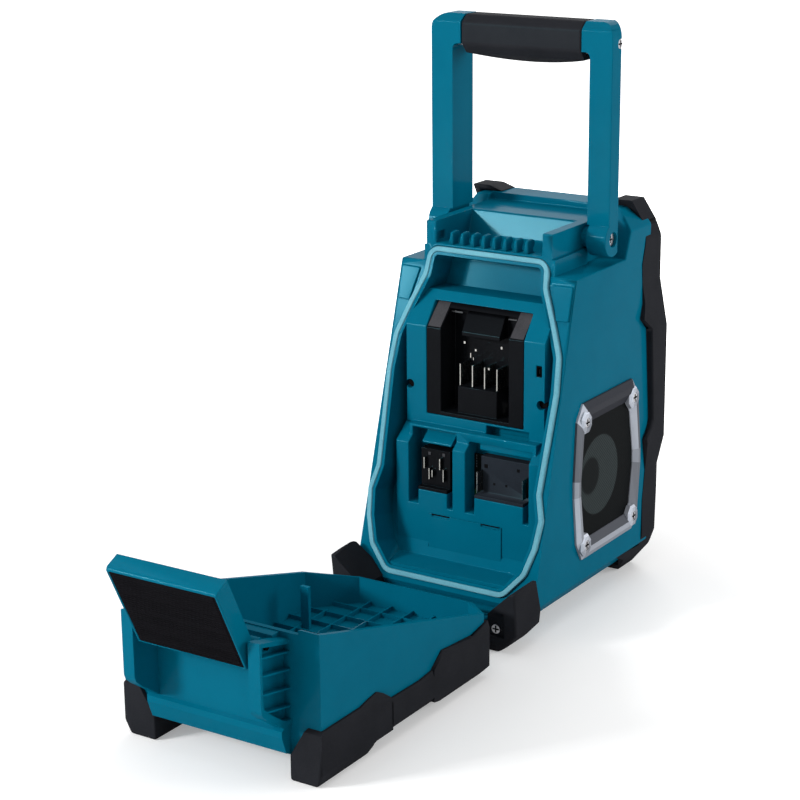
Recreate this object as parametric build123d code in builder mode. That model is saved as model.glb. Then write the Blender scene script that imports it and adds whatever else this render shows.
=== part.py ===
import os
from math import atan, cos, radians, sin

from build123d import *

os.makedirs("parts", exist_ok=True)

# Jobsite radio, in mm. +Z is up, the ground is z = 0, x = 0 is the plane of symmetry.
# The display side faces -Y, the battery bay and its open door face +Y, "left" is the -X side.
# Lists of points are (y, z) for side views, (x, z) for end views and (x, y) for plan views.

# shared walls and clearances
WALL = 3.0
FIT = 0.2
RUN = 0.05
SOFT_GAP = 0.3
CUT = 1.0

# housing: tapered sides, rear face leaning forward as it rises
BODY_FRONT = -74.0
BELLY_Z = 12.0
BELLY_HALF = 66.0
SKIRT_Z = 25.0
SKIRT_HALF = 78.0
SHOULDER_Z = 261.0
SHOULDER_HALF = 75.3
REAR_FOOT_Y = 118.0
REAR_SLOPE = 0.2761
FLANGE_Z = 26.0
BEAM_REAR = 122.0
BEAM_TOP = 21.0
SEAL_LIFT = 2.5

# tower above the shoulder, with the latch tray in its top
TOWER_HALF = 54.0
TOWER_REAR = 45.0
TOWER_TOP = 292.0
PLINTH_HALF = 56.5
PLINTH_TOP = 273.0
PLINTH_FRONT = -5.0
LIP_REAR = -50.0
LIP_TOP = 297.5
TRAY_HALF = 45.5
TRAY_FRONT_TOP = -8.0
TRAY_FRONT_FOOT = -2.5
TRAY_Z = 273.5
COMB_Z = 275.0
COMB_COUNT = 8
COMB_PITCH = 9.2
COMB_THICKNESS = 2.9
COMB_TOOTH = [(44.9, 273), (44.9, 284), (43.5, 284.6), (38, 285.2), (35, 284.5), (34, 282.5), (34, 280),
              (36, 279), (36, 273)]
TOOTH_FRONT = 34.0
TRAY_POCKET = (32.0, 42.0, 276.5, 283.0)
TRAY_POCKET_DEPTH = 4.0
EAR_SIDE = [(-31.7, 258), (-31.7, 261), (-39.9, 281.5), (-45, 297), (-74, 297), (-74, 258)]
EAR_END = [(53, 258), (75.3, 258), (75.3, 281.5), (63, 297), (53, 297)]
PAD_LIFT = 1.6
SHOULDER_PAD = [(73.5, 255.5), (57.5, 255.0), (63.5, 230.5), (73.5, 231)]

# seal line of the battery bay, half of it, with the corner radii
SEAL_LINE = [(49.8, 271), (51.5, 252.5), (61, 230.5), (70.3, 206), (72.3, 180), (71, 141), (69.8, 108),
             (74.6, 90), (72.5, 70), (66.5, 50), (51, 32.5)]
SEAL_RADII = [8, 14, 6, 22, 10, 10, 8, 8, 10, 12, 10]
SEAL_WIDTH = 4.0
SEAL_DEPTH = 3.0
TUB_DEPTH = 27.0
TUB_OUT = 2.2
TUB_IN = 4.5
RIDGE_DROP = 0.8

# mounts inside the bay for one large battery and two slide-on batteries
UPPER_HALF = 60.0
UPPER_MOUNT = [(10, 138), (65, 138), (65, 215), (46.4, 239.7), (10, 239.7)]
LOWER_HALF = 61.3
LOWER_MOUNT = [(30, 30), (79, 30), (79, 126), (64, 137.8), (30, 137.8)]
BAY_FLOOR_Z = 38.0
BAY_FLOOR_FRONT = 30.0
LOWER_FACE = 79.0
SLOT_BACK = 60.0
SLOT_FOOT = 78.3
NARROW_SLOT = (11.1, 49.9, 137.0)
WIDE_SLOT = (-54.9, -0.3, 133.2)
NARROW_TONGUE = (15.6, 41.6, 90.0)
WIDE_TONGUE = (-50.6, -8.2, 91.5)
NARROW_HOOD = [(60, 125.5), (72.5, 125.5), (72.5, 127), (66, 132.2), (60, 138)]
WIDE_HOOD = [(60, 127), (70, 127), (70, 133.1), (64, 137.8), (60, 137.8)]
CATCH_NOTCH = (-47.0, -10.5, 134.0, 145.0)
CATCH_NOTCH_DEPTH = 10.0
TERMINAL_LEDGE = 2.5
NARROW_PLATE_Y = 74.0
WIDE_PLATE_Y = 68.5
TERMINAL_TOP = 122.0
BLADE = 0.8
# blades as (x, foot, top)
NARROW_BLADES = ((20.3, 98.4, 108.0), (23.4, 107.5, 116.3), (30.2, 100.7, 106.3), (32.9, 98.6, 107.4),
                 (37.3, 106.7, 115.5))
WIDE_BLADES = ((-48.5, 96.0, 111.5), (-9.3, 95.1, 111.4))
BLADE_ROOT = 2.0
NARROW_BLADE_FRONT = 77.0
WIDE_BLADE_FRONT = 76.6
RISER = (-7.6, -1.0)
RISER_Y = 66.0
BOARD_TOP = 112.0
BOARD_THICKNESS = 1.6
BLOCK_HALF = 42.0
BLOCK_BACK = 38.0
BLOCK_FACE = 65.0
BLOCK_FOOT = 147.0
BLOCK_EAVE = 214.5
BLOCK_TOP = 232.4
BLOCK_TOP_FACE = 47.7
BLOCK_POCKET_HALF = 29.5
BLOCK_POCKET = [(44, 150), (70, 150), (70, 219.6), (51.7, 228.2), (44, 228.2)]
BLOCK_STEP_HALF = 17.0
BLOCK_STEP = [(43, 149), (61, 149), (61, 171), (43, 171)]
BLOCK_PLATE_HALF = 16.5
BLOCK_PLATE = [(43, 227), (48.3, 225), (56, 212), (56, 209), (43, 209)]
MAIN_BLADES = (-16.0, -5.3, 5.3, 16.0)
MAIN_BLADE_FRONT = 59.0
MAIN_BLADE_HEIGHT = 17.0
COVER_HALF = 32.0
COVER_TOP = 72.0
COVER_THICKNESS = 2.0
COVER_STEP = 0.6
COVER_NICKS = ((13.0, 29.1), (-30.9, -14.4))
COVER_NICK_DROPS = (2.2, 0.4)
CELL_HALF = 27.0
CELL_BACK = 63.0
USB_PLACE = (-55.1, 193.4)
USB_WIDTH = 4.0
USB_HEIGHT = 8.0
USB_DEPTH = 9.0
USB_SHELL = 0.5
USB_TONGUE = 0.9
BAY_SCREW_X = 57.0
BAY_SCREW_Z = 168.0
BAY_SCREW_LENGTH = 9.0
BAY_SCREW_SINK = 6.0

# speakers in the two sides
SPEAKER_Y = -1.8
SPEAKER_Z = 102.9
FRAME_OUTER = [(40, 62.5), (49, 50), (53, 5), (53, -8), (49, -46), (41, -60)]
FRAME_OPENING = [(33, 45.5), (38, 36), (43.5, 4), (43.5, -6), (38, -38), (33, -45)]
FRAME_HEIGHT = 4.2
LUG_HEIGHT = 5.0
LUG_X = 38.75
LUG_Z = 48.25
LUG_RADIUS = 7.0
GRILLE_LIP = 2.8
GRILLE_THICKNESS = 1.0
GRILLE_HOLE = 1.9
GRILLE_PITCH = 6.4
DRIVER_RADIUS = 40.0
DRIVER_FLANGE = 2.5
FLANGE_HALF = 46.0
CONE_RIM = 34.0
CONE_NECK = 12.0
CONE_DEPTH = 15.0
BASKET_DEPTH = 25.0
BASKET_NECK = 26.0
MAGNET_RADIUS = 30.0
MAGNET_DEPTH = 14.0
SCREW_HEAD = 3.4
SCREW_HEAD_RISE = 2.0
SCREW_SHANK = 1.6

# front panel and what it carries
PANEL_END = [(64, 14), (76, 27), (73.6, 255), (73.6, 283), (62, 295)]
PANEL_FRONT = -84.0
LENS_HALF = 38.0
LENS_FOOT = 194.0
LENS_TOP = 246.0
LENS_THICKNESS = 2.0
LENS_SEAT = 2.0
MODULE_HALF = 41.0
MODULE_DEPTH = 6.2
MAIN_BOARD_HALF = 58.0
MAIN_BOARD_FOOT = 62.0
MAIN_BOARD_TOP = 252.0
POST_X = 50.0
POST_RADIUS = 3.0
POST_INSET = 8.0
CHIP_HALF = 20.0
CHIP_FOOT = 90.0
CHIP_TOP = 130.0
CHIP_HEIGHT = 12.0
CAN_X = 40.0
CAN_Z = 215.0
CAN_RADIUS = 8.0
CAN_HEIGHT = 18.0
BUTTON_RADIUS = 6.0
BUTTON_FRONT = -86.5
BUTTON_ROW_Z = 172.0
BUTTON_X = (-45.0, -27.0, -9.0, 9.0, 27.0, 45.0)
BUTTON_NAMES = ("power_button", "mode_button", "menu_button", "preset_1_button", "preset_2_button",
                "preset_3_button")
BUTTON_TRAVEL = 1.0
DIAL_Z = 118.0
DIAL_RADIUS = 19.0
DIAL_FLUTE = 0.9
DIAL_FRONT = -92.0
SHAFT_RADIUS = 3.0
ENCODER_HALF = 7.0
FLAP_X = -30.0
FLAP_HALF = 22.0
FLAP_FOOT = 34.0
FLAP_AXIS_Z = 60.0
FLAP_THICKNESS = 3.2
FLAP_PIN = 1.1
JACK_Z = 46.0
DC_X = -40.0
DC_RADIUS = 2.75
DC_DEPTH = 9.0
AUX_X = -20.0
AUX_RADIUS = 1.75
AUX_DEPTH = 10.0
ANTENNA_X = 56.0
ANTENNA_Z = 270.0
ANTENNA_RADIUS = 3.2

# rubber corners
FRONT_BUMPER_SIDE = [(-50, 302.4), (-66, 282.4), (-63.4, 266), (-59, 251.6), (-60.6, 221), (-56.5, 209),
                     (-68.8, 198), (-72.8, 124), (-69.6, 118), (-63, 112), (-68, 84), (-64, 60), (-62.4, 22),
                     (-20, 25), (-41, 16), (-56, 0), (-79, 0), (-84, 20), (-89, 66), (-89, 84), (-93, 107),
                     (-93, 198), (-90, 236), (-90, 270), (-86, 283), (-70, 302.4)]
FRONT_BUMPER_END = [(46, 298), (55, 302.4), (70, 302.4), (72.8, 283), (76, 270), (76, 236), (81.5, 198),
                    (81.5, 107), (77.9, 84), (77.9, 66), (79, 30), (75, 17), (62, 0), (48, 0), (48, 14),
                    (60, 40),
                    (60, 291), (46, 291)]
HINGE_BUMPER_SIDE = [(103.5, 25), (111, 50), (117, 51.5), (143, 49), (140, 26), (138, 0), (118, 0), (106, 14)]
HINGE_BUMPER_END = [(50, 0), (64, 0), (SKIRT_HALF - 6, 6), (SKIRT_HALF + 2, 16), (SKIRT_HALF + 2, 50),
                    (SKIRT_HALF + 1, 51.5), (54, 27.5), (54, 20), (50, 20)]
HINGE_BUMPER_SCREW = (62.0, 18.0)
HINGE_BUMPER_POCKET = (49.0, 70.0, 12.0, 32.0)
HINGE_BUMPER_RECESS = 4.0

# door hinge, then the door as it stands open
HINGE_Y = 140.15
HINGE_Z = 14.15
HINGE_PIN = 3.0
HINGE_PIN_HALF = 48.0
KNUCKLE_RADIUS = 6.5
BODY_KNUCKLE = (30.0, 46.0)
DOOR_KNUCKLE = (12.0, 29.6)
DOOR_HALF = SKIRT_HALF
DOOR_FOOT = 17.0
DOOR_WALL = 3.5
DOOR_END = 382.0
DOOR_NEAR = 149.0
DOOR_NEAR_HALF = 48.7
DOOR_CORNER = 182.0
NECK_HALF = 62.0
NECK_DROP = 3.5
GRID_PITCH = 18.5
GRID_RIB = 1.2
GRID_HEIGHT = 3.5
GRID_END = 262.0
HOOK_POST = (49.5, 56.5, 212.0, 215.0, 53.0)
CHEEK_IN = 46.0
CHEEK_OUT = 55.0
CHEEK_SIDE = [(379, 37), (389, 37.5), (398.5, 44.5), (407, 50.5), (412, 55), (413.5, 59), (413.5, 104.5),
              (380, 96)]
CHEEK_RECESS = [(382, 42), (388, 42.5), (397.5, 49), (405, 54.5), (410, 59), (411, 62), (411, 101),
                (382, 93.5)]
CHEEK_RECESS_DEPTH = 5.0
CHEEK_RIBS = (50.9, 63.1, 75.8, 87.9)
CHEEK_RIB_RISE = 0.2
CHEEK_RIB_ENDS = (381.5, 411.5)
CHEEK_RIB_HALF = 0.6
CHIN_HALF = 54.5
CHIN_SIDE = [(380, 17), (387.5, 20), (392, 32), (392, 36.5), (389.5, 38), (380, 38)]
RECESS_WALL_SIDE = [(380, 36), (389.5, 36), (389.5, 100), (380, 100)]

# rubber on the door
FOOT_SIDE = [(329, 0), (385, 0), (385, 37), (382.2, 39), (340, 39), (330, 41), (320, 42.4), (313, 39),
             (303, 31.7),
             (303, 9), (323, 9)]
FOOT_END = [(DOOR_HALF - 23.2, 0), (DOOR_HALF - 2, 0), (DOOR_HALF + 2.3, 8), (DOOR_HALF + 2.3, 36),
            (DOOR_HALF + 1, 42.4), (DOOR_HALF - 8, 42.4), (DOOR_HALF - 23.2, 17)]
STRIP_SIDE = [(252, 9), (303.5, 9), (303.5, 31.7), (268, 31), (252, 32.6)]
STRIP_END = [(DOOR_HALF - 8, 9), (DOOR_HALF, 9), (DOOR_HALF + 3, 13), (DOOR_HALF + 3, 28),
             (DOOR_HALF + 1.5, 33),
             (DOOR_HALF - 8, 33)]
NEAR_SIDE = [(179, 7), (183, 3.5), (238, 3.5), (252.5, 9), (252.5, 32.6), (239.5, 42.5), (202.5, 38.8),
             (179, 43)]
NEAR_END = [(DOOR_HALF - 18, 3.5), (DOOR_HALF - 2, 3.5), (DOOR_HALF + 3, 9), (DOOR_HALF + 3, 38),
            (DOOR_HALF + 1.5, 43), (DOOR_HALF - 8, 43), (DOOR_HALF - 18, 17)]

# latch lever: u runs along the lever, w out of its outer face
LATCH_Y = 401.0
LATCH_Z = 97.0
LATCH_ANGLE = 25.8
LATCH_HALF = 43.4
LATCH_TAIL = 8.3
LATCH_TIP = 58.4
LATCH_IN = 1.5
LATCH_OUT = 15.1
LATCH_SKIN = 2.5
LATCH_EAR = 5.0
LATCH_PIN = 2.0
LATCH_PIN_INSET = 41.0
LATCH_PIN_END = 51.8
HOOK_NEAR = 26.8
HOOK_FAR = 29.8
HOOK_RISE = 9.0
LATCH_EDGE = 1.4
PAD_HALF = 41.3
PAD_NEAR = -6.2
PAD_FAR = 56.2
PAD_RECESS = 1.2
PAD_RIBS = 31
PAD_RIB_HALF = 0.45
PAD_RIB_RISE = 0.3
PAD_EDGE = 1.4

# carrying handle
HANDLE_Y = -7.0
HANDLE_Z = 281.0
ARM_IN = 58.5
ARM_OUT = 77.0
ARM_DEPTH = 30.0
ARM_SIDE_DEPTH = 14.0
ARM_FOOT_Z = 292.0
GRIP_TOP = 440.7
GRIP_BEVEL = 7.0
GRIP_BEVEL_DROP = 5.4
GRIP_DEPTH = 21.7
GRIP_HALF = 51.5
BELLY_DROP = 7.0
BELLY_SAG = 5.0
CORE_FRONT = -22.0
CORE_REAR = -8.0
CORE_SINK = 6.7
CORE_HEIGHT = 17.0
CORE_HALF = 62.0
EYE_IN = 60.5
EYE_RADIUS = 13.0
BOSS_RADIUS = 8.0
BOSS_OUT = 60.2
BOSS_FLOOR = 52.0
PIVOT_RADIUS = 4.0
PIVOT_HEAD = 5.0
PIVOT_HEAD_HEIGHT = 2.2
PIVOT_ROOM = 0.6
PIVOT_SINK = 4.5
HANDLE_SCREW_Y = -12.7
HANDLE_SCREW_SINK = 15.7
HANDLE_SCREW_SEAT = 2.5

# values that follow from the ones above
grip_shoulder = GRIP_TOP - GRIP_BEVEL_DROP
grip_foot = GRIP_TOP - GRIP_DEPTH
belly_end = grip_foot - BELLY_DROP
belly_z = belly_end - BELLY_SAG
core_top = GRIP_TOP - CORE_SINK
core_foot = core_top - CORE_HEIGHT
handle_screw_z = GRIP_TOP - HANDLE_SCREW_SINK
lean = atan(REAR_SLOPE)
side_lean = atan((SKIRT_HALF - SHOULDER_HALF) / (SHOULDER_Z - SKIRT_Z))
seal_foot_y = REAR_FOOT_Y + SEAL_LIFT
hinge_sum = HINGE_Y + HINGE_Z
hinge_difference = HINGE_Y - HINGE_Z


def rear_y(z):
    return REAR_FOOT_Y - REAR_SLOPE * z


def seal_y(z):
    return seal_foot_y - REAR_SLOPE * z


def wall_half(z):
    return SKIRT_HALF - (SKIRT_HALF - SHOULDER_HALF) * (z - SKIRT_Z) / (SHOULDER_Z - SKIRT_Z)


def rim_z(y):
    # the open door's rim, which lands just off the seal face when the door is shut
    return hinge_sum - SOFT_GAP - seal_foot_y + REAR_SLOPE * (y - hinge_difference)


def leaning_plane(foot_y):
    return Plane(origin=(0, foot_y, 0), x_dir=(-1, 0, 0), z_dir=(0, cos(lean), sin(lean)))


def both_sides(half):
    return half + [(-x, other) for x, other in reversed(half)]


def outline(plane, points, radii=None, grow=0.0):
    with BuildSketch(plane) as sketch:
        with BuildLine():
            if radii is None:
                Polyline(*points, close=True)
            else:
                FilletPolyline(*points, radius=radii, close=True)
        make_face()
        if grow != 0:
            offset(amount=grow)
    return sketch.sketch


def prism_x(points, x_low, x_high, mode=Mode.ADD):
    extrude(outline(Plane.YZ.offset(x_low), points), amount=x_high - x_low, mode=mode)


def prism_y(points, y_low, y_high, mode=Mode.ADD):
    extrude(outline(Plane.XZ.offset(-y_low), points), amount=y_low - y_high, mode=mode)


def prism_z(points, z_low, z_high, mode=Mode.ADD):
    extrude(outline(Plane.XY.offset(z_low), points), amount=z_high - z_low, mode=mode)


def block(x_low, x_high, y_low, y_high, z_low, z_high, mode=Mode.ADD):
    with Locations(((x_low + x_high) / 2, (y_low + y_high) / 2, (z_low + z_high) / 2)):
        Box(x_high - x_low, y_high - y_low, z_high - z_low, mode=mode)


def rod_x(radius, x_low, x_high, y, z, mode=Mode.ADD):
    with Locations(Location(((x_low + x_high) / 2, y, z), (0, 90, 0))):
        Cylinder(radius, x_high - x_low, mode=mode)


def rod_y(radius, y_low, y_high, x, z, mode=Mode.ADD):
    with Locations(Location((x, (y_low + y_high) / 2, z), (90, 0, 0))):
        Cylinder(radius, y_high - y_low, mode=mode)


def crossed(side_points, end_points):
    # the solid whose side view and end view are the two outlines
    x_values = [x for x, z in end_points]
    y_values = [y for y, z in side_points]
    with BuildPart() as solid:
        prism_x(side_points, min(x_values), max(x_values))
        prism_y(end_points, min(y_values), max(y_values), mode=Mode.INTERSECT)
    return solid.part


def seal_ring(low, high, grow_out, grow_in, mode=Mode.ADD):
    # a band along the seal line, between two heights above the seal face
    base = seal_plane.offset(low)
    band = outline(base, seal_points, seal_radii, grow_out)
    if grow_in is not None:
        band = band - outline(base, seal_points, seal_radii, grow_in)
    extrude(band, amount=high - low, mode=mode)


def within_tub(side_points, x_low, x_high):
    with BuildPart() as solid:
        prism_x(side_points, x_low, x_high)
        seal_ring(-TUB_DEPTH - WALL, 2 * TUB_DEPTH, -SEAL_WIDTH / 2 - FIT, None, mode=Mode.INTERSECT)
    return solid.part


def save(part, label):
    part.label = label
    export_step(part, f"parts/{label}.step")


def save_pair(part, label):
    save(part, label + "_right")
    save(mirror(part, about=Plane.YZ), label + "_left")


def screw_y(x, y_head, z, head, shank, length, toward):
    # a domed screw along Y, its head on the side given by toward
    rod_y(head, min(y_head, y_head - toward * 2.0), max(y_head, y_head - toward * 2.0), x, z)
    tip = y_head - toward * (2.0 + length)
    rod_y(shank, min(y_head - toward * 2.0, tip), max(y_head - toward * 2.0, tip), x, z)


seal_plane = leaning_plane(seal_foot_y)
seal_half = [(-x, z / cos(lean)) for x, z in SEAL_LINE]
seal_points = both_sides(seal_half)
seal_radii = SEAL_RADII + SEAL_RADII[::-1]
side_plane = Plane(origin=(wall_half(SPEAKER_Z), SPEAKER_Y, SPEAKER_Z), x_dir=(0, 1, 0),
                   z_dir=(cos(side_lean), 0, sin(side_lean)))
hull_side = [(BODY_FRONT, BELLY_Z), (BEAM_REAR, BELLY_Z), (BEAM_REAR, BEAM_TOP),
             (rear_y(FLANGE_Z) - WALL, BEAM_TOP), (rear_y(FLANGE_Z), FLANGE_Z),
             (rear_y(SHOULDER_Z), SHOULDER_Z),
             (BODY_FRONT, SHOULDER_Z)]
hull_end = both_sides([(BELLY_HALF, BELLY_Z), (SKIRT_HALF, SKIRT_Z), (SHOULDER_HALF, SHOULDER_Z)])
inner_rear = WALL / cos(lean)
cavity_side = [(BODY_FRONT - CUT, BELLY_Z + WALL), (rear_y(FLANGE_Z) - inner_rear, BELLY_Z + WALL),
               (rear_y(FLANGE_Z) - inner_rear, FLANGE_Z),
               (rear_y(SHOULDER_Z - WALL) - inner_rear, SHOULDER_Z - WALL),
               (BODY_FRONT - CUT, SHOULDER_Z - WALL)]
cavity_end = both_sides([(BELLY_HALF - WALL, BELLY_Z + WALL), (SKIRT_HALF - WALL, SKIRT_Z + WALL / 2),
                         (SHOULDER_HALF - WALL, SHOULDER_Z - WALL)])
frame_points = both_sides(FRAME_OUTER)
opening_points = both_sides(FRAME_OPENING)
latch_turn = radians(90 - LATCH_ANGLE)
latch_draw = Plane(origin=(0, LATCH_Y, LATCH_Z), x_dir=(0, cos(latch_turn), sin(latch_turn)), z_dir=(1, 0, 0))

# ---------------------------------------------------------------- housing
hull = crossed(hull_side, hull_end)
cavity = crossed(cavity_side, cavity_end)
ear = crossed(EAR_SIDE, EAR_END)
tray_cut = [(TRAY_FRONT_TOP, LIP_TOP + CUT), (TRAY_FRONT_TOP, TOWER_TOP), (TRAY_FRONT_FOOT, TRAY_Z),
            (TOOTH_FRONT, TRAY_Z),
            (TOOTH_FRONT, COMB_Z), (TOWER_REAR + CUT, COMB_Z), (TOWER_REAR + CUT, LIP_TOP + CUT)]

with BuildPart() as main_housing:
    add(hull)
    block(-TOWER_HALF, TOWER_HALF, BODY_FRONT, TOWER_REAR, SHOULDER_Z - WALL, TOWER_TOP)
    block(-TOWER_HALF, TOWER_HALF, BODY_FRONT, LIP_REAR, TOWER_TOP - WALL, LIP_TOP)
    block(-PLINTH_HALF, PLINTH_HALF, PLINTH_FRONT, TOWER_REAR, SHOULDER_Z - WALL, PLINTH_TOP)
    add(ear)
    add(mirror(ear, about=Plane.YZ))
    rod_x(BOSS_RADIUS, TOWER_HALF - CUT, BOSS_OUT, HANDLE_Y, HANDLE_Z)
    rod_x(BOSS_RADIUS, -BOSS_OUT, -TOWER_HALF + CUT, HANDLE_Y, HANDLE_Z)
    add(cavity, mode=Mode.SUBTRACT)
    block(-TOWER_HALF + WALL, TOWER_HALF - WALL, BODY_FRONT - CUT, TRAY_FRONT_TOP - WALL - 1,
          SHOULDER_Z - 2 * WALL,
          TOWER_TOP - WALL, mode=Mode.SUBTRACT)
    block(-TOWER_HALF + WALL, TOWER_HALF - WALL, BODY_FRONT - CUT, TOOTH_FRONT - WALL, SHOULDER_Z - 2 * WALL,
          TRAY_Z - WALL, mode=Mode.SUBTRACT)
    prism_x(tray_cut, -TRAY_HALF, TRAY_HALF, mode=Mode.SUBTRACT)
    for side in (-1, 1):
        rod_x(PIVOT_RADIUS + RUN, min(side * BOSS_FLOOR, side * (BOSS_OUT + CUT)),
              max(side * BOSS_FLOOR, side * (BOSS_OUT + CUT)), HANDLE_Y, HANDLE_Z, mode=Mode.SUBTRACT)
        block(min(side * TRAY_HALF, side * (TRAY_HALF + TRAY_POCKET_DEPTH)),
              max(side * TRAY_HALF, side * (TRAY_HALF + TRAY_POCKET_DEPTH)), *TRAY_POCKET, mode=Mode.SUBTRACT)
    for index in range(COMB_COUNT):
        tooth_x = (index - (COMB_COUNT - 1) / 2) * COMB_PITCH
        prism_x(COMB_TOOTH, tooth_x - COMB_THICKNESS / 2, tooth_x + COMB_THICKNESS / 2)
    seal_ring(-TUB_DEPTH - WALL - CUT, 2 * CUT + SEAL_LIFT, TUB_OUT + FIT, None, mode=Mode.SUBTRACT)
    for side in (-1, 1):
        pad = [(-side * x, z / cos(lean)) for x, z in SHOULDER_PAD]
        extrude(outline(leaning_plane(REAR_FOOT_Y).offset(-CUT), pad), amount=CUT + PAD_LIFT)
    speaker_hole = outline(side_plane.offset(-2 * WALL), opening_points, grow=GRILLE_LIP + FIT)
    hole = extrude(speaker_hole, amount=4 * WALL, mode=Mode.PRIVATE)
    add(hole, mode=Mode.SUBTRACT)
    add(mirror(hole, about=Plane.YZ), mode=Mode.SUBTRACT)
    for low, high in (BODY_KNUCKLE, (-BODY_KNUCKLE[1], -BODY_KNUCKLE[0])):
        block(low, high, BEAM_REAR - WALL, HINGE_Y, BELLY_Z, HINGE_Z + KNUCKLE_RADIUS * 0.7)
        rod_x(KNUCKLE_RADIUS, low, high, HINGE_Y, HINGE_Z)
        rod_x(HINGE_PIN + RUN, low - CUT, high + CUT, HINGE_Y, HINGE_Z, mode=Mode.SUBTRACT)
save(main_housing.part, "main_housing")

# ---------------------------------------------------------------- battery bay
upper_mount = within_tub(UPPER_MOUNT, -UPPER_HALF, UPPER_HALF)
lower_mount = within_tub(LOWER_MOUNT, -LOWER_HALF - WALL, LOWER_HALF)
floor_rear = seal_y(BAY_FLOOR_Z) - SEAL_DEPTH
bay_floor = within_tub([(BAY_FLOOR_FRONT, 0), (floor_rear, 0), (floor_rear, BAY_FLOOR_Z),
                        (BAY_FLOOR_FRONT, BAY_FLOOR_Z)],
                       -SKIRT_HALF, SKIRT_HALF)
slot_case_top = WIDE_SLOT[2] + 2 * WALL
block_side = [(BLOCK_BACK, BLOCK_FOOT), (BLOCK_FACE, BLOCK_FOOT), (BLOCK_FACE, BLOCK_EAVE),
              (BLOCK_TOP_FACE, BLOCK_TOP),
              (BLOCK_BACK, BLOCK_TOP)]

with BuildPart() as battery_bay:
    seal_ring(-TUB_DEPTH - WALL, -SEAL_DEPTH, TUB_OUT, None)
    seal_ring(-SEAL_DEPTH - CUT, -RIDGE_DROP, -SEAL_WIDTH / 2 - FIT, None)
    seal_ring(-TUB_DEPTH, CUT, -TUB_IN, None, mode=Mode.SUBTRACT)
    add(upper_mount)
    add(lower_mount)
    add(bay_floor)
    block(WIDE_SLOT[0] - WALL, NARROW_SLOT[1] + WALL, SLOT_BACK - WALL, LOWER_FACE - 2 * WALL,
          SLOT_FOOT - WALL,
          slot_case_top)
    for low, high, top in (NARROW_SLOT, WIDE_SLOT):
        block(low, high, SLOT_BACK, LOWER_FACE + 2 * WALL, SLOT_FOOT, top, mode=Mode.SUBTRACT)
    for low, high, top in (NARROW_TONGUE, WIDE_TONGUE):
        block(low, high, SLOT_BACK - CUT, LOWER_FACE, SLOT_FOOT - CUT, top)
    prism_x(NARROW_HOOD, NARROW_TONGUE[0], NARROW_TONGUE[1])
    prism_x(WIDE_HOOD, WIDE_SLOT[0] - CUT, WIDE_TONGUE[1])
    block(CATCH_NOTCH[0], CATCH_NOTCH[1], UPPER_MOUNT[1][0] - CATCH_NOTCH_DEPTH, UPPER_MOUNT[1][0] + CUT,
          CATCH_NOTCH[2], CATCH_NOTCH[3], mode=Mode.SUBTRACT)
    block(-BLOCK_HALF - FIT, BLOCK_HALF + FIT, BLOCK_BACK - FIT, BLOCK_FACE + CUT, BLOCK_FOOT - FIT,
          BLOCK_TOP + FIT,
          mode=Mode.SUBTRACT)
    block(-COVER_HALF - FIT, COVER_HALF + FIT, LOWER_FACE - COVER_THICKNESS, LOWER_FACE + CUT, BAY_FLOOR_Z,
          COVER_TOP + FIT, mode=Mode.SUBTRACT)
    block(-CELL_HALF, CELL_HALF, CELL_BACK, LOWER_FACE, BAY_FLOOR_Z + WALL, COVER_TOP - WALL,
          mode=Mode.SUBTRACT)
    block(USB_PLACE[0] - USB_WIDTH / 2 - FIT, USB_PLACE[0] + USB_WIDTH / 2 + FIT,
          UPPER_MOUNT[1][0] - USB_DEPTH - FIT,
          UPPER_MOUNT[1][0] + CUT, USB_PLACE[1] - USB_HEIGHT / 2 - FIT, USB_PLACE[1] + USB_HEIGHT / 2 + FIT,
          mode=Mode.SUBTRACT)
    for x in (-BAY_SCREW_X, BAY_SCREW_X):
        rod_y(SCREW_HEAD + FIT, UPPER_MOUNT[1][0] - BAY_SCREW_SINK, UPPER_MOUNT[1][0] + CUT, x, BAY_SCREW_Z,
              mode=Mode.SUBTRACT)
        rod_y(SCREW_SHANK, UPPER_MOUNT[1][0] - BAY_SCREW_SINK - BAY_SCREW_LENGTH, UPPER_MOUNT[1][0], x,
              BAY_SCREW_Z,
              mode=Mode.SUBTRACT)
save(battery_bay.part, "battery_bay")

with BuildPart() as bay_seal:
    seal_ring(-SEAL_DEPTH, 0, SEAL_WIDTH / 2, -SEAL_WIDTH / 2)
save(bay_seal.part, "bay_seal")

with BuildPart() as bay_screws:
    for x in (-BAY_SCREW_X, BAY_SCREW_X):
        screw_y(x, UPPER_MOUNT[1][0] - BAY_SCREW_SINK + SCREW_HEAD_RISE, BAY_SCREW_Z, SCREW_HEAD,
                SCREW_SHANK, BAY_SCREW_LENGTH, 1)
save(bay_screws.part, "bay_screws")

with BuildPart() as main_terminal_block:
    prism_x(block_side, -BLOCK_HALF, BLOCK_HALF)
    prism_x(BLOCK_POCKET, -BLOCK_POCKET_HALF, BLOCK_POCKET_HALF, mode=Mode.SUBTRACT)
    prism_x(BLOCK_STEP, -BLOCK_STEP_HALF, BLOCK_STEP_HALF)
    prism_x(BLOCK_PLATE, -BLOCK_PLATE_HALF, BLOCK_PLATE_HALF)
    for x in MAIN_BLADES:
        block(x - BLADE / 2, x + BLADE / 2, BLOCK_BACK - CUT, MAIN_BLADE_FRONT, BLOCK_STEP[2][1] - 6,
              BLOCK_STEP[2][1] + MAIN_BLADE_HEIGHT, mode=Mode.SUBTRACT)
save(main_terminal_block.part, "main_terminal_block")

with BuildPart() as main_terminal_contacts:
    for x in MAIN_BLADES:
        block(x - BLADE / 2, x + BLADE / 2, BLOCK_BACK + CUT, MAIN_BLADE_FRONT, BLOCK_STEP[2][1] - 6,
              BLOCK_STEP[2][1] + MAIN_BLADE_HEIGHT)
save(main_terminal_contacts.part, "main_terminal_contacts")


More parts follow.
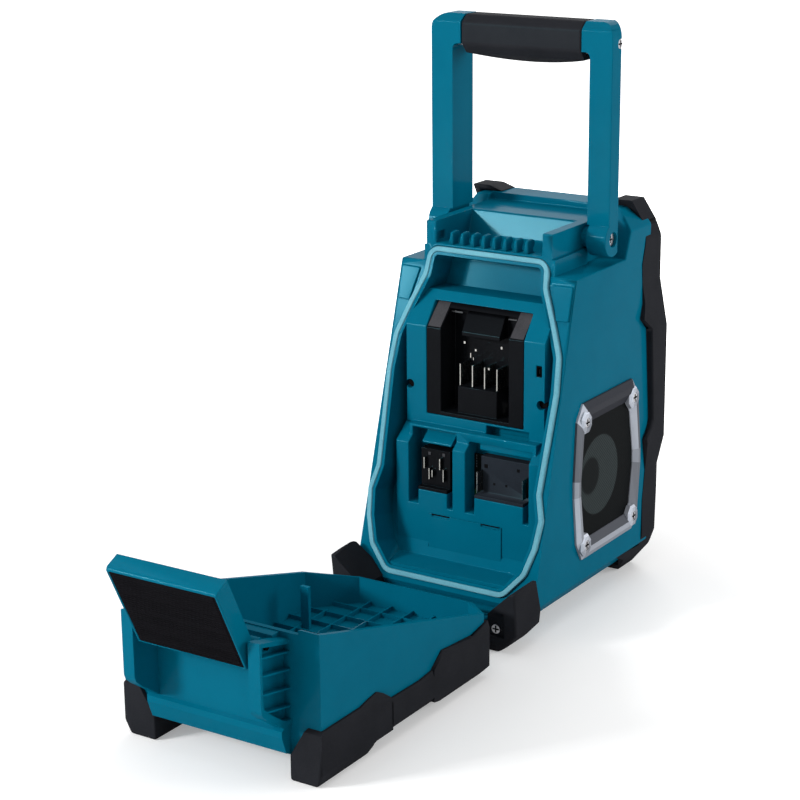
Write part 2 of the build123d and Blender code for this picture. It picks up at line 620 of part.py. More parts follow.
def slide_terminal(tongue, face, blades, blade_front):
    # an upright contact carrier in a battery slot, with a thin ledge over the tongue
    low, high, foot = tongue
    with BuildPart() as carrier:
        block(low, high, SLOT_BACK, face, foot, TERMINAL_TOP)
        block(low, high, face, LOWER_FACE, foot, foot + TERMINAL_LEDGE)
        for x, blade_foot, blade_top in blades:
            block(x - BLADE / 2, x + BLADE / 2, face - BLADE_ROOT, face + CUT, blade_foot, blade_top,
                  mode=Mode.SUBTRACT)
    with BuildPart() as contacts:
        for x, blade_foot, blade_top in blades:
            block(x - BLADE / 2, x + BLADE / 2, face - BLADE_ROOT, blade_front, blade_foot, blade_top)
    return carrier.part, contacts.part


narrow_carrier, narrow_contacts = slide_terminal(NARROW_TONGUE, NARROW_PLATE_Y, NARROW_BLADES,
                                                 NARROW_BLADE_FRONT)
save(narrow_carrier, "narrow_slide_terminal")
save(narrow_contacts, "narrow_slide_contacts")
wide_carrier, wide_contacts = slide_terminal(WIDE_TONGUE, WIDE_PLATE_Y, WIDE_BLADES, WIDE_BLADE_FRONT)
save(wide_carrier, "wide_slide_terminal")
save(wide_contacts, "wide_slide_contacts")

with BuildPart() as terminal_board:
    block(WIDE_SLOT[0] - WALL, NARROW_SLOT[1] + WALL, SLOT_BACK - WALL - FIT - BOARD_THICKNESS,
          SLOT_BACK - WALL - FIT,
          SLOT_FOOT - WALL, BOARD_TOP)
    block(RISER[0], RISER[1], RISER_Y - BOARD_THICKNESS, RISER_Y, SLOT_FOOT, TERMINAL_TOP)
save(terminal_board.part, "terminal_board")

with BuildPart() as backup_battery_cover:
    block(-COVER_HALF, COVER_HALF, LOWER_FACE - COVER_THICKNESS, LOWER_FACE + COVER_STEP, BAY_FLOOR_Z + FIT,
          COVER_TOP)
    for low, high in COVER_NICKS:
        block(low, high, LOWER_FACE - COVER_STEP, LOWER_FACE + CUT, COVER_TOP - COVER_NICK_DROPS[0],
              COVER_TOP - COVER_NICK_DROPS[1], mode=Mode.SUBTRACT)
save(backup_battery_cover.part, "backup_battery_cover")

with BuildPart() as usb_port:
    block(USB_PLACE[0] - USB_WIDTH / 2, USB_PLACE[0] + USB_WIDTH / 2, UPPER_MOUNT[1][0] - USB_DEPTH,
          UPPER_MOUNT[1][0], USB_PLACE[1] - USB_HEIGHT / 2, USB_PLACE[1] + USB_HEIGHT / 2)
    block(USB_PLACE[0] - USB_WIDTH / 2 + USB_SHELL, USB_PLACE[0] + USB_WIDTH / 2 - USB_SHELL,
          UPPER_MOUNT[1][0] - USB_DEPTH + 2 * USB_SHELL, UPPER_MOUNT[1][0] + CUT,
          USB_PLACE[1] - USB_HEIGHT / 2 + USB_SHELL, USB_PLACE[1] + USB_HEIGHT / 2 - USB_SHELL,
          mode=Mode.SUBTRACT)
    block(USB_PLACE[0] - USB_TONGUE / 2, USB_PLACE[0] + USB_TONGUE / 2, UPPER_MOUNT[1][0] - USB_DEPTH,
          UPPER_MOUNT[1][0] - 2 * USB_SHELL, USB_PLACE[1] - USB_HEIGHT / 4, USB_PLACE[1] + USB_HEIGHT / 4)
save(usb_port.part, "usb_port")

# ---------------------------------------------------------------- speakers
with BuildPart() as speaker_frame:
    extrude(outline(side_plane, frame_points), amount=FRAME_HEIGHT)
    extrude(outline(side_plane.offset(-CUT), opening_points), amount=FRAME_HEIGHT + 2 * CUT,
            mode=Mode.SUBTRACT)
    with BuildSketch(side_plane):
        with Locations(*[(x, z) for x in (-LUG_X, LUG_X) for z in (-LUG_Z, LUG_Z)]):
            Circle(LUG_RADIUS)
    extrude(amount=LUG_HEIGHT)
    with BuildSketch(side_plane.offset(LUG_HEIGHT)):
        with Locations(*[(x, z) for x in (-LUG_X, LUG_X) for z in (-LUG_Z, LUG_Z)]):
            Circle(SCREW_HEAD + FIT)
    extrude(amount=-2.0 - FIT, mode=Mode.SUBTRACT)
    with BuildSketch(side_plane.offset(-CUT)):
        with Locations(*[(x, z) for x in (-LUG_X, LUG_X) for z in (-LUG_Z, LUG_Z)]):
            Circle(SCREW_SHANK + RUN)
    extrude(amount=LUG_HEIGHT, mode=Mode.SUBTRACT)
save_pair(speaker_frame.part, "speaker_frame")

with BuildPart() as speaker_grille:
    extrude(outline(side_plane.offset(-GRILLE_THICKNESS - FIT), opening_points, grow=GRILLE_LIP),
            amount=GRILLE_THICKNESS)
    rim = outline(side_plane.offset(-WALL), opening_points, grow=GRILLE_LIP) \
        - outline(side_plane.offset(-WALL), opening_points, grow=GRILLE_LIP - 1.5)
    extrude(rim, amount=WALL - GRILLE_THICKNESS - FIT)
    with BuildSketch(side_plane.offset(-2 * GRILLE_THICKNESS)):
        with GridLocations(GRILLE_PITCH, GRILLE_PITCH, 11, 13):
            Circle(GRILLE_HOLE)
    extrude(amount=3 * GRILLE_THICKNESS, mode=Mode.SUBTRACT)
save_pair(speaker_grille.part, "speaker_grille")

basket_plane = side_plane.offset(-WALL - RUN)
basket_wall = [(DRIVER_RADIUS, 0), (DRIVER_RADIUS + 2, 0), (DRIVER_RADIUS + 2, -DRIVER_FLANGE),
               (BASKET_NECK + 1.5, -BASKET_DEPTH), (CONE_NECK + 2, -BASKET_DEPTH),
               (CONE_NECK + 2, 1.5 - BASKET_DEPTH),
               (BASKET_NECK, 1.5 - BASKET_DEPTH), (DRIVER_RADIUS, -DRIVER_FLANGE)]
turning_plane = Plane(basket_plane.origin, x_dir=basket_plane.x_dir,
                      z_dir=basket_plane.z_dir.cross(basket_plane.x_dir) * -1)
speaker_axis = Axis(basket_plane.origin, basket_plane.z_dir)

with BuildPart() as speaker_basket:
    revolve(outline(turning_plane, basket_wall), axis=speaker_axis)
    with BuildSketch(basket_plane.offset(WALL - BASKET_DEPTH)):
        with PolarLocations((DRIVER_RADIUS + BASKET_NECK) / 2, 4, start_angle=45):
            Circle(8)
    extrude(amount=BASKET_DEPTH / 2, mode=Mode.SUBTRACT)
    with BuildSketch(basket_plane):
        Rectangle(2 * FLANGE_HALF, 2 * FLANGE_HALF)
        Circle(DRIVER_RADIUS, mode=Mode.SUBTRACT)
    extrude(amount=-DRIVER_FLANGE)
save_pair(speaker_basket.part, "speaker_basket")

cone_profile = [(CONE_NECK, -CONE_DEPTH - 2), (CONE_RIM, -2), (CONE_RIM + 2, -0.4), (DRIVER_RADIUS - 2, -0.4),
                (DRIVER_RADIUS - FIT, -1.4), (DRIVER_RADIUS - FIT, -2.4), (CONE_RIM, -3.2),
                (CONE_NECK, -CONE_DEPTH - 4),
                (0, -CONE_DEPTH - 1), (0, -CONE_DEPTH + 1), (CONE_NECK * 0.6, -CONE_DEPTH)]
with BuildPart() as speaker_cone:
    revolve(outline(turning_plane, cone_profile), axis=speaker_axis)
save_pair(speaker_cone.part, "speaker_cone")

with BuildPart() as speaker_magnet:
    with BuildSketch(basket_plane.offset(-BASKET_DEPTH)):
        Circle(MAGNET_RADIUS)
    extrude(amount=-MAGNET_DEPTH)
    with BuildSketch(basket_plane.offset(-BASKET_DEPTH)):
        Circle(CONE_NECK + 0.5)
        Circle(CONE_NECK - 2, mode=Mode.SUBTRACT)
    extrude(amount=-MAGNET_DEPTH / 2, mode=Mode.SUBTRACT)
save_pair(speaker_magnet.part, "speaker_magnet")

with BuildPart() as screws_right:
    with BuildSketch(side_plane.offset(LUG_HEIGHT - FIT)):
        with Locations(*[(x, z) for x in (-LUG_X, LUG_X) for z in (-LUG_Z, LUG_Z)]):
            Circle(SCREW_HEAD)
    extrude(amount=-2.0)
    with BuildSketch(side_plane.offset(LUG_HEIGHT - FIT - 2.0)):
        with Locations(*[(x, z) for x in (-LUG_X, LUG_X) for z in (-LUG_Z, LUG_Z)]):
            Circle(SCREW_SHANK)
    extrude(amount=-LUG_HEIGHT + 2.0 + FIT)
with BuildPart() as speaker_screws:
    add(screws_right.part)
    add(mirror(screws_right.part, about=Plane.YZ))
save(speaker_screws.part, "speaker_screws")

# ---------------------------------------------------------------- front panel
panel_end = both_sides(PANEL_END)
panel_inner = both_sides([(61, 17), (73, 28.5), (70.6, 255), (70.6, 281.5), (60.5, 292)])
module_back = PANEL_FRONT + WALL + MODULE_DEPTH
board_back = module_back + BOARD_THICKNESS
lens_z = (LENS_FOOT, LENS_TOP)

with BuildPart() as front_panel:
    prism_y(panel_end, PANEL_FRONT, BODY_FRONT)
    prism_y(panel_inner, PANEL_FRONT + WALL, BODY_FRONT + CUT, mode=Mode.SUBTRACT)
    block(-LENS_HALF - FIT, LENS_HALF + FIT, PANEL_FRONT - CUT, PANEL_FRONT + LENS_THICKNESS, LENS_FOOT - FIT,
          LENS_TOP + FIT, mode=Mode.SUBTRACT)
    block(-LENS_HALF + LENS_SEAT, LENS_HALF - LENS_SEAT, PANEL_FRONT - CUT, PANEL_FRONT + 2 * WALL,
          LENS_FOOT + LENS_SEAT, LENS_TOP - LENS_SEAT, mode=Mode.SUBTRACT)
    for x in (-POST_X, POST_X):
        for z in (MAIN_BOARD_FOOT + POST_INSET, MAIN_BOARD_TOP - POST_INSET):
            rod_y(POST_RADIUS, PANEL_FRONT + WALL / 2, module_back, x, z)
    for x in BUTTON_X:
        rod_y(BUTTON_RADIUS + SOFT_GAP, PANEL_FRONT - CUT, PANEL_FRONT + WALL + CUT, x, BUTTON_ROW_Z,
              mode=Mode.SUBTRACT)
    rod_y(SHAFT_RADIUS + 4 * SOFT_GAP, PANEL_FRONT - CUT, PANEL_FRONT + WALL + CUT, 0, DIAL_Z,
          mode=Mode.SUBTRACT)
    for x, radius in ((DC_X, DC_RADIUS), (AUX_X, AUX_RADIUS)):
        rod_y(radius + WALL / 2 + FIT, PANEL_FRONT - CUT, PANEL_FRONT + WALL + CUT, x, JACK_Z,
              mode=Mode.SUBTRACT)
    rod_y(ANTENNA_RADIUS + FIT, PANEL_FRONT - CUT, PANEL_FRONT + WALL + CUT, ANTENNA_X, ANTENNA_Z,
          mode=Mode.SUBTRACT)
    for side in (-1, 1):
        lug_near = FLAP_X + side * (FLAP_HALF + SOFT_GAP)
        lug_far = FLAP_X + side * (FLAP_HALF + WALL)
        block(min(lug_near, lug_far), max(lug_near, lug_far), PANEL_FRONT - SOFT_GAP - FLAP_THICKNESS,
              PANEL_FRONT + CUT,
              FLAP_AXIS_Z - FLAP_THICKNESS / 2, FLAP_AXIS_Z + FLAP_THICKNESS / 2)
    rod_x(FLAP_PIN + RUN, FLAP_X - FLAP_HALF - WALL + 0.8, FLAP_X + FLAP_HALF + WALL - 0.8,
          PANEL_FRONT - SOFT_GAP - FLAP_THICKNESS / 2, FLAP_AXIS_Z, mode=Mode.SUBTRACT)
save(front_panel.part, "front_panel")

with BuildPart() as display_lens:
    block(-LENS_HALF, LENS_HALF, PANEL_FRONT, PANEL_FRONT + LENS_THICKNESS, LENS_FOOT, LENS_TOP)
save(display_lens.part, "display_lens")

with BuildPart() as display_module:
    block(-MODULE_HALF, MODULE_HALF, PANEL_FRONT + WALL, module_back, LENS_FOOT - LENS_SEAT,
          LENS_TOP + LENS_SEAT)
save(display_module.part, "display_module")

with BuildPart() as main_board:
    block(-MAIN_BOARD_HALF, MAIN_BOARD_HALF, module_back, board_back, MAIN_BOARD_FOOT, MAIN_BOARD_TOP)
    block(-CHIP_HALF, CHIP_HALF, board_back, board_back + CHIP_HEIGHT, CHIP_FOOT, CHIP_TOP)
    for x in (-CAN_X, CAN_X):
        rod_y(CAN_RADIUS, board_back, board_back + CAN_HEIGHT, x, CAN_Z)
save(main_board.part, "main_board")

for x, button_name in zip(BUTTON_X, BUTTON_NAMES):
    with BuildPart() as button:
        rod_y(BUTTON_RADIUS, BUTTON_FRONT, PANEL_FRONT + WALL + FIT, x, BUTTON_ROW_Z)
        rod_y(BUTTON_RADIUS + 1.4, PANEL_FRONT + WALL + FIT, PANEL_FRONT + WALL + FIT + 1.4, x, BUTTON_ROW_Z)
        rod_y(BUTTON_RADIUS / 2, PANEL_FRONT + WALL, module_back - BUTTON_TRAVEL - FIT, x, BUTTON_ROW_Z)
    save(button.part, button_name)

with BuildPart() as tuning_dial:
    rod_y(DIAL_RADIUS, DIAL_FRONT, PANEL_FRONT - SOFT_GAP, 0, DIAL_Z)
    with Locations(Location((0, DIAL_FRONT, DIAL_Z), (90, 0, 0))):
        with PolarLocations(DIAL_RADIUS, 24):
            Cylinder(DIAL_FLUTE, 2 * DIAL_RADIUS, mode=Mode.SUBTRACT)
    rod_y(SHAFT_RADIUS + 0.02, DIAL_FRONT + WALL, PANEL_FRONT, 0, DIAL_Z, mode=Mode.SUBTRACT)
save(tuning_dial.part, "tuning_dial")

with BuildPart() as encoder_shaft:
    rod_y(SHAFT_RADIUS, DIAL_FRONT + WALL, module_back - 2, 0, DIAL_Z)
save(encoder_shaft.part, "encoder_shaft")

with BuildPart() as encoder:
    block(-ENCODER_HALF, ENCODER_HALF, PANEL_FRONT + WALL, module_back, DIAL_Z - ENCODER_HALF,
          DIAL_Z + ENCODER_HALF)
    rod_y(SHAFT_RADIUS + RUN, PANEL_FRONT, module_back - 2 + FIT, 0, DIAL_Z, mode=Mode.SUBTRACT)
save(encoder.part, "encoder")

with BuildPart() as dc_jack:
    rod_y(DC_RADIUS + WALL / 2, PANEL_FRONT, PANEL_FRONT + DC_DEPTH + 2, DC_X, JACK_Z)
    block(DC_X - 6, DC_X + 6, PANEL_FRONT + WALL, PANEL_FRONT + DC_DEPTH + 3, JACK_Z - 6, JACK_Z + 6)
    rod_y(DC_RADIUS, PANEL_FRONT - CUT, PANEL_FRONT + DC_DEPTH, DC_X, JACK_Z, mode=Mode.SUBTRACT)
    rod_y(1.05, PANEL_FRONT + 1, PANEL_FRONT + DC_DEPTH + CUT, DC_X, JACK_Z)
save(dc_jack.part, "dc_jack")

with BuildPart() as aux_jack:
    rod_y(AUX_RADIUS + WALL / 2, PANEL_FRONT, PANEL_FRONT + AUX_DEPTH + 2, AUX_X, JACK_Z)
    block(AUX_X - 4, AUX_X + 4, PANEL_FRONT + WALL, PANEL_FRONT + AUX_DEPTH + 3, JACK_Z - 4, JACK_Z + 4)
    rod_y(AUX_RADIUS, PANEL_FRONT - CUT, PANEL_FRONT + AUX_DEPTH, AUX_X, JACK_Z, mode=Mode.SUBTRACT)
save(aux_jack.part, "aux_jack")

with BuildPart() as antenna_socket:
    rod_y(ANTENNA_RADIUS, PANEL_FRONT - 6, PANEL_FRONT + WALL, ANTENNA_X, ANTENNA_Z)
    rod_y(ANTENNA_RADIUS + 2, PANEL_FRONT + WALL, PANEL_FRONT + 2 * WALL, ANTENNA_X, ANTENNA_Z)
    rod_y(0.65, PANEL_FRONT - 6 - CUT, PANEL_FRONT, ANTENNA_X, ANTENNA_Z, mode=Mode.SUBTRACT)
save(antenna_socket.part, "antenna_socket")

flap_y = PANEL_FRONT - SOFT_GAP - FLAP_THICKNESS / 2
with BuildPart() as port_cover:
    block(FLAP_X - FLAP_HALF, FLAP_X + FLAP_HALF, PANEL_FRONT - SOFT_GAP - FLAP_THICKNESS,
          PANEL_FRONT - SOFT_GAP,
          FLAP_FOOT, FLAP_AXIS_Z)
    rod_x(FLAP_THICKNESS / 2, FLAP_X - FLAP_HALF, FLAP_X + FLAP_HALF, flap_y, FLAP_AXIS_Z)
    rod_x(FLAP_PIN, FLAP_X - FLAP_HALF - WALL + 1, FLAP_X + FLAP_HALF + WALL - 1, flap_y, FLAP_AXIS_Z)
save(port_cover.part, "port_cover")

# ---------------------------------------------------------------- rubber corners of the body
front_bumper_block = crossed(FRONT_BUMPER_SIDE, FRONT_BUMPER_END)
with BuildPart() as front_bumper:
    add(front_bumper_block)
    add(hull, mode=Mode.SUBTRACT)
    add(ear, mode=Mode.SUBTRACT)
    block(-TOWER_HALF, TOWER_HALF, BODY_FRONT, TOWER_REAR, SHOULDER_Z, LIP_TOP, mode=Mode.SUBTRACT)
    prism_y(panel_end, PANEL_FRONT, BODY_FRONT, mode=Mode.SUBTRACT)
save_pair(front_bumper.part, "front_bumper")

hinge_bumper_block = crossed(HINGE_BUMPER_SIDE, HINGE_BUMPER_END)
recess_front = HINGE_BUMPER_SIDE[4][0] - HINGE_BUMPER_RECESS
with BuildPart() as hinge_bumper:
    add(hinge_bumper_block)
    add(hull, mode=Mode.SUBTRACT)
    block(HINGE_BUMPER_POCKET[0], HINGE_BUMPER_POCKET[1], recess_front, HINGE_BUMPER_SIDE[3][0] + CUT,
          HINGE_BUMPER_POCKET[2], HINGE_BUMPER_POCKET[3], mode=Mode.SUBTRACT)
    rod_y(SCREW_SHANK + RUN, BEAM_REAR, recess_front + CUT, HINGE_BUMPER_SCREW[0], HINGE_BUMPER_SCREW[1],
          mode=Mode.SUBTRACT)
save_pair(hinge_bumper.part, "hinge_bumper")

with BuildPart() as bumper_screws:
    for x in (-HINGE_BUMPER_SCREW[0], HINGE_BUMPER_SCREW[0]):
        screw_y(x, recess_front + SCREW_HEAD_RISE, HINGE_BUMPER_SCREW[1], SCREW_HEAD, SCREW_SHANK,
                recess_front - BEAM_REAR, 1)
save(bumper_screws.part, "bumper_screws")

# ---------------------------------------------------------------- door
door_plan = both_sides([(DOOR_NEAR_HALF, DOOR_NEAR), (DOOR_HALF, DOOR_CORNER), (DOOR_HALF, DOOR_END)])
door_inner = both_sides([(DOOR_NEAR_HALF - 1.6, DOOR_NEAR + DOOR_WALL),
                         (DOOR_HALF - DOOR_WALL, DOOR_CORNER + 1.6),
                         (DOOR_HALF - DOOR_WALL, DOOR_END - DOOR_WALL)])
door_floor = DOOR_FOOT + DOOR_WALL
rim_cut = [(0, rim_z(0)), (2 * DOOR_END, rim_z(2 * DOOR_END)), (2 * DOOR_END, GRIP_TOP), (0, GRIP_TOP)]

with BuildPart() as door_hull:
    prism_z(door_plan, DOOR_FOOT, rim_z(DOOR_END))
    prism_x(rim_cut, -DOOR_HALF - CUT, DOOR_HALF + CUT, mode=Mode.SUBTRACT)

with BuildPart() as door_shell:
    add(door_hull.part)
    prism_z(door_inner, door_floor, rim_z(DOOR_END) + CUT, mode=Mode.SUBTRACT)
    block(-NECK_HALF, NECK_HALF, DOOR_END - 3 * DOOR_WALL, DOOR_END + CUT, rim_z(DOOR_END) - NECK_DROP,
          rim_z(DOOR_END) + CUT, mode=Mode.SUBTRACT)
    for index in range(-3, 4):
        block(index * GRID_PITCH - GRID_RIB / 2, index * GRID_PITCH + GRID_RIB / 2, DOOR_CORNER, GRID_END,
              door_floor - CUT,
              door_floor + GRID_HEIGHT)
    for index in range(-2, 3):
        block(index * GRID_PITCH - GRID_RIB / 2, index * GRID_PITCH + GRID_RIB / 2, DOOR_NEAR + CUT,
              DOOR_CORNER + CUT,
              door_floor - CUT, door_floor + GRID_HEIGHT)
    for index in range(1, 6):
        row_y = DOOR_NEAR + index * GRID_PITCH
        corner_share = (row_y - DOOR_NEAR) / (DOOR_CORNER - DOOR_NEAR)
        half = min(DOOR_HALF, DOOR_NEAR_HALF + corner_share * (DOOR_HALF - DOOR_NEAR_HALF))
        block(-half + CUT, half - CUT, row_y - GRID_RIB / 2, row_y + GRID_RIB / 2, door_floor - CUT,
              door_floor + GRID_HEIGHT)
    block(HOOK_POST[0], HOOK_POST[1], HOOK_POST[2], HOOK_POST[3], door_floor - CUT, HOOK_POST[4])
    prism_x(RECESS_WALL_SIDE, -CHEEK_IN - CUT, CHEEK_IN + CUT)
    prism_x(CHIN_SIDE, -CHIN_HALF, CHIN_HALF)
    for side in (-1, 1):
        inner = min(side * CHEEK_IN, side * CHEEK_OUT)
        outer = max(side * CHEEK_IN, side * CHEEK_OUT)
        prism_x(CHEEK_SIDE, inner, outer)
        shallow = side * (CHEEK_OUT - CHEEK_RECESS_DEPTH)
        prism_x(CHEEK_RECESS, min(shallow, side * (CHEEK_OUT + CUT)), max(shallow, side * (CHEEK_OUT + CUT)),
                mode=Mode.SUBTRACT)
        for z in CHEEK_RIBS:
            rib_back, rib_front = CHEEK_RIB_ENDS
            front_z = z + (rib_front - rib_back) * CHEEK_RIB_RISE
            rib = [(rib_back, z - CHEEK_RIB_HALF), (rib_front, front_z - CHEEK_RIB_HALF),
                   (rib_front, front_z + CHEEK_RIB_HALF), (rib_back, z + CHEEK_RIB_HALF)]
            prism_x(rib, min(shallow - side, side * CHEEK_OUT), max(shallow - side, side * CHEEK_OUT))
        rod_x(LATCH_PIN + RUN, min(side * (CHEEK_IN - CUT), side * (LATCH_PIN_END + FIT)),
              max(side * (CHEEK_IN - CUT), side * (LATCH_PIN_END + FIT)), LATCH_Y, LATCH_Z,
              mode=Mode.SUBTRACT)
    for low, high in (DOOR_KNUCKLE, (-DOOR_KNUCKLE[1], -DOOR_KNUCKLE[0])):
        block(low, high, HINGE_Y, DOOR_NEAR + DOOR_WALL, HINGE_Z - KNUCKLE_RADIUS * 0.6, door_floor)
        rod_x(KNUCKLE_RADIUS, low, high, HINGE_Y, HINGE_Z)
        rod_x(HINGE_PIN + RUN, low - CUT, high + CUT, HINGE_Y, HINGE_Z, mode=Mode.SUBTRACT)
save(door_shell.part, "door_shell")

with BuildPart() as hinge_pin:
    rod_x(HINGE_PIN, -HINGE_PIN_HALF, HINGE_PIN_HALF, HINGE_Y, HINGE_Z)
save(hinge_pin.part, "hinge_pin")

foot_block = crossed(FOOT_SIDE, FOOT_END)
strip_block = crossed(STRIP_SIDE, STRIP_END)
near_block = crossed(NEAR_SIDE, NEAR_END)
with BuildPart() as door_bumper:
    add(foot_block)
    add(strip_block)
    add(near_block)
    prism_z(door_plan, DOOR_FOOT, 5 * DOOR_FOOT, mode=Mode.SUBTRACT)
save_pair(door_bumper.part, "door_bumper")

# ---------------------------------------------------------------- latch on the door
lever = [(-LATCH_TAIL, LATCH_IN + 4), (-LATCH_TAIL + 2, LATCH_IN), (LATCH_TIP, LATCH_IN),
         (LATCH_TIP, LATCH_OUT - LATCH_EDGE), (LATCH_TIP - LATCH_EDGE, LATCH_OUT),
         (-LATCH_TAIL + LATCH_EDGE, LATCH_OUT), (-LATCH_TAIL, LATCH_OUT - LATCH_EDGE)]
lever_roof = LATCH_OUT - PAD_RECESS - LATCH_SKIN
lever_hollow = [(-LATCH_TAIL + LATCH_SKIN, LATCH_IN - CUT), (LATCH_TIP - LATCH_SKIN, LATCH_IN - CUT),
                (LATCH_TIP - LATCH_SKIN, lever_roof), (-LATCH_TAIL + LATCH_SKIN, lever_roof)]


def lever_box(x_low, x_high, u_low, u_high, w_low, w_high, mode=Mode.ADD):
    points = [(u_low, -w_low), (u_high, -w_low), (u_high, -w_high), (u_low, -w_high)]
    extrude(outline(latch_draw.offset(x_low), points), amount=x_high - x_low, mode=mode)


def lever_prism(points, x_low, x_high, mode=Mode.ADD):
    extrude(outline(latch_draw.offset(x_low), [(u, -w) for u, w in points]), amount=x_high - x_low, mode=mode)


with BuildPart() as latch_lever:
    lever_prism(lever, -LATCH_HALF, LATCH_HALF)
    lever_prism(lever_hollow, -LATCH_HALF + LATCH_SKIN, LATCH_HALF - LATCH_SKIN, mode=Mode.SUBTRACT)
    lever_box(-PAD_HALF - FIT, PAD_HALF + FIT, PAD_NEAR - FIT, PAD_FAR + FIT, LATCH_OUT - PAD_RECESS,
              LATCH_OUT + CUT,
              mode=Mode.SUBTRACT)
    lever_box(-LATCH_HALF + CUT, LATCH_HALF - CUT, HOOK_NEAR, HOOK_FAR, LATCH_IN + 2, lever_roof + CUT)
    for side in (-1, 1):
        ear_in = side * (LATCH_HALF - 2 * LATCH_SKIN)
        ear_out = side * (CHEEK_IN - SOFT_GAP)
        rod_x(LATCH_EAR, min(ear_in, ear_out), max(ear_in, ear_out), LATCH_Y, LATCH_Z)
        lever_box(min(ear_in, side * LATCH_HALF), max(ear_in, side * LATCH_HALF), -LATCH_EAR * 0.8,
                  LATCH_EAR * 0.8, 0,
                  lever_roof + CUT)
        rod_x(LATCH_PIN + RUN, min(side * (LATCH_PIN_INSET - FIT), side * CHEEK_IN),
              max(side * (LATCH_PIN_INSET - FIT), side * CHEEK_IN), LATCH_Y, LATCH_Z, mode=Mode.SUBTRACT)
save(latch_lever.part, "latch_lever")

with BuildPart() as latch_pad:
    lever_box(-PAD_HALF, PAD_HALF, PAD_NEAR, PAD_FAR, LATCH_OUT - PAD_RECESS, LATCH_OUT - 0.3)
    for index in range(PAD_RIBS):
        rib_u = PAD_NEAR + PAD_EDGE + index * (PAD_FAR - PAD_NEAR - 2 * PAD_EDGE) / (PAD_RIBS - 1)
        lever_box(PAD_EDGE - PAD_HALF, PAD_HALF - PAD_EDGE, rib_u - PAD_RIB_HALF, rib_u + PAD_RIB_HALF,
                  LATCH_OUT - PAD_RECESS, LATCH_OUT + PAD_RIB_RISE)
save(latch_pad.part, "latch_pad")

with BuildPart() as latch_pins:
    for side in (-1, 1):
        rod_x(LATCH_PIN, min(side * LATCH_PIN_INSET, side * LATCH_PIN_END),
              max(side * LATCH_PIN_INSET, side * LATCH_PIN_END),
              LATCH_Y, LATCH_Z)
save(latch_pins.part, "latch_pins")

# ---------------------------------------------------------------- handle
grip_side = [(0, grip_foot), (0, grip_shoulder), (-GRIP_BEVEL, GRIP_TOP), (-ARM_DEPTH + GRIP_BEVEL, GRIP_TOP),
             (-ARM_DEPTH, grip_shoulder), (-ARM_DEPTH, grip_foot)]
arm_plan = [(GRIP_HALF, EYE_RADIUS), (ARM_OUT, EYE_RADIUS), (ARM_OUT, -ARM_SIDE_DEPTH), (ARM_IN, -ARM_DEPTH),
            (GRIP_HALF, -ARM_DEPTH)]
arm_side = [(0, ARM_FOOT_Z), (0, grip_shoulder), (-GRIP_BEVEL, GRIP_TOP), (-ARM_DEPTH + GRIP_BEVEL, GRIP_TOP),
            (-ARM_DEPTH, grip_shoulder), (-ARM_DEPTH, ARM_FOOT_Z)]
arm_end = [(ARM_IN, ARM_FOOT_Z), (ARM_OUT, ARM_FOOT_Z), (ARM_OUT, GRIP_TOP), (GRIP_HALF, GRIP_TOP),
           (GRIP_HALF, grip_foot),
           (ARM_IN, grip_foot)]
arm_radii = [0.2, 0.2, 11, 0.2, 0.2, 4]
arm_heel = [(0, HANDLE_Z), (0, ARM_FOOT_Z + CUT), (-ARM_DEPTH, ARM_FOOT_Z + CUT), (-ARM_DEPTH, ARM_FOOT_Z),
            (HANDLE_Y - EYE_RADIUS, HANDLE_Z)]

with BuildPart() as handle_arm:
    extrude(outline(Plane.XZ.offset(0), arm_end, arm_radii), amount=ARM_DEPTH)
    prism_x(arm_side, 0, ARM_OUT + CUT, mode=Mode.INTERSECT)
    prism_x(arm_heel, EYE_IN, ARM_OUT)
    rod_x(EYE_RADIUS, EYE_IN, ARM_OUT, HANDLE_Y, HANDLE_Z)
    prism_z(arm_plan, HANDLE_Z - EYE_RADIUS - CUT, GRIP_TOP, mode=Mode.INTERSECT)
    rod_x(PIVOT_RADIUS + RUN, EYE_IN - CUT, ARM_OUT + CUT, HANDLE_Y, HANDLE_Z, mode=Mode.SUBTRACT)
    rod_x(PIVOT_HEAD + PIVOT_ROOM, ARM_OUT - PIVOT_SINK, ARM_OUT + CUT, HANDLE_Y, HANDLE_Z,
          mode=Mode.SUBTRACT)
    block(GRIP_HALF - CUT, CORE_HALF + FIT, CORE_FRONT - FIT, CORE_REAR + FIT, core_foot - FIT,
          core_top + FIT,
          mode=Mode.SUBTRACT)
    rod_x(SCREW_SHANK + RUN, CORE_HALF, ARM_OUT + CUT, HANDLE_SCREW_Y, handle_screw_z, mode=Mode.SUBTRACT)
    rod_x(SCREW_HEAD + PIVOT_ROOM, ARM_OUT - HANDLE_SCREW_SEAT, ARM_OUT + CUT, HANDLE_SCREW_Y, handle_screw_z,
          mode=Mode.SUBTRACT)
save_pair(handle_arm.part, "handle_arm")

with BuildPart() as grip_core:
    block(-CORE_HALF, CORE_HALF, CORE_FRONT, CORE_REAR, core_foot, core_top)
save(grip_core.part, "grip_core")

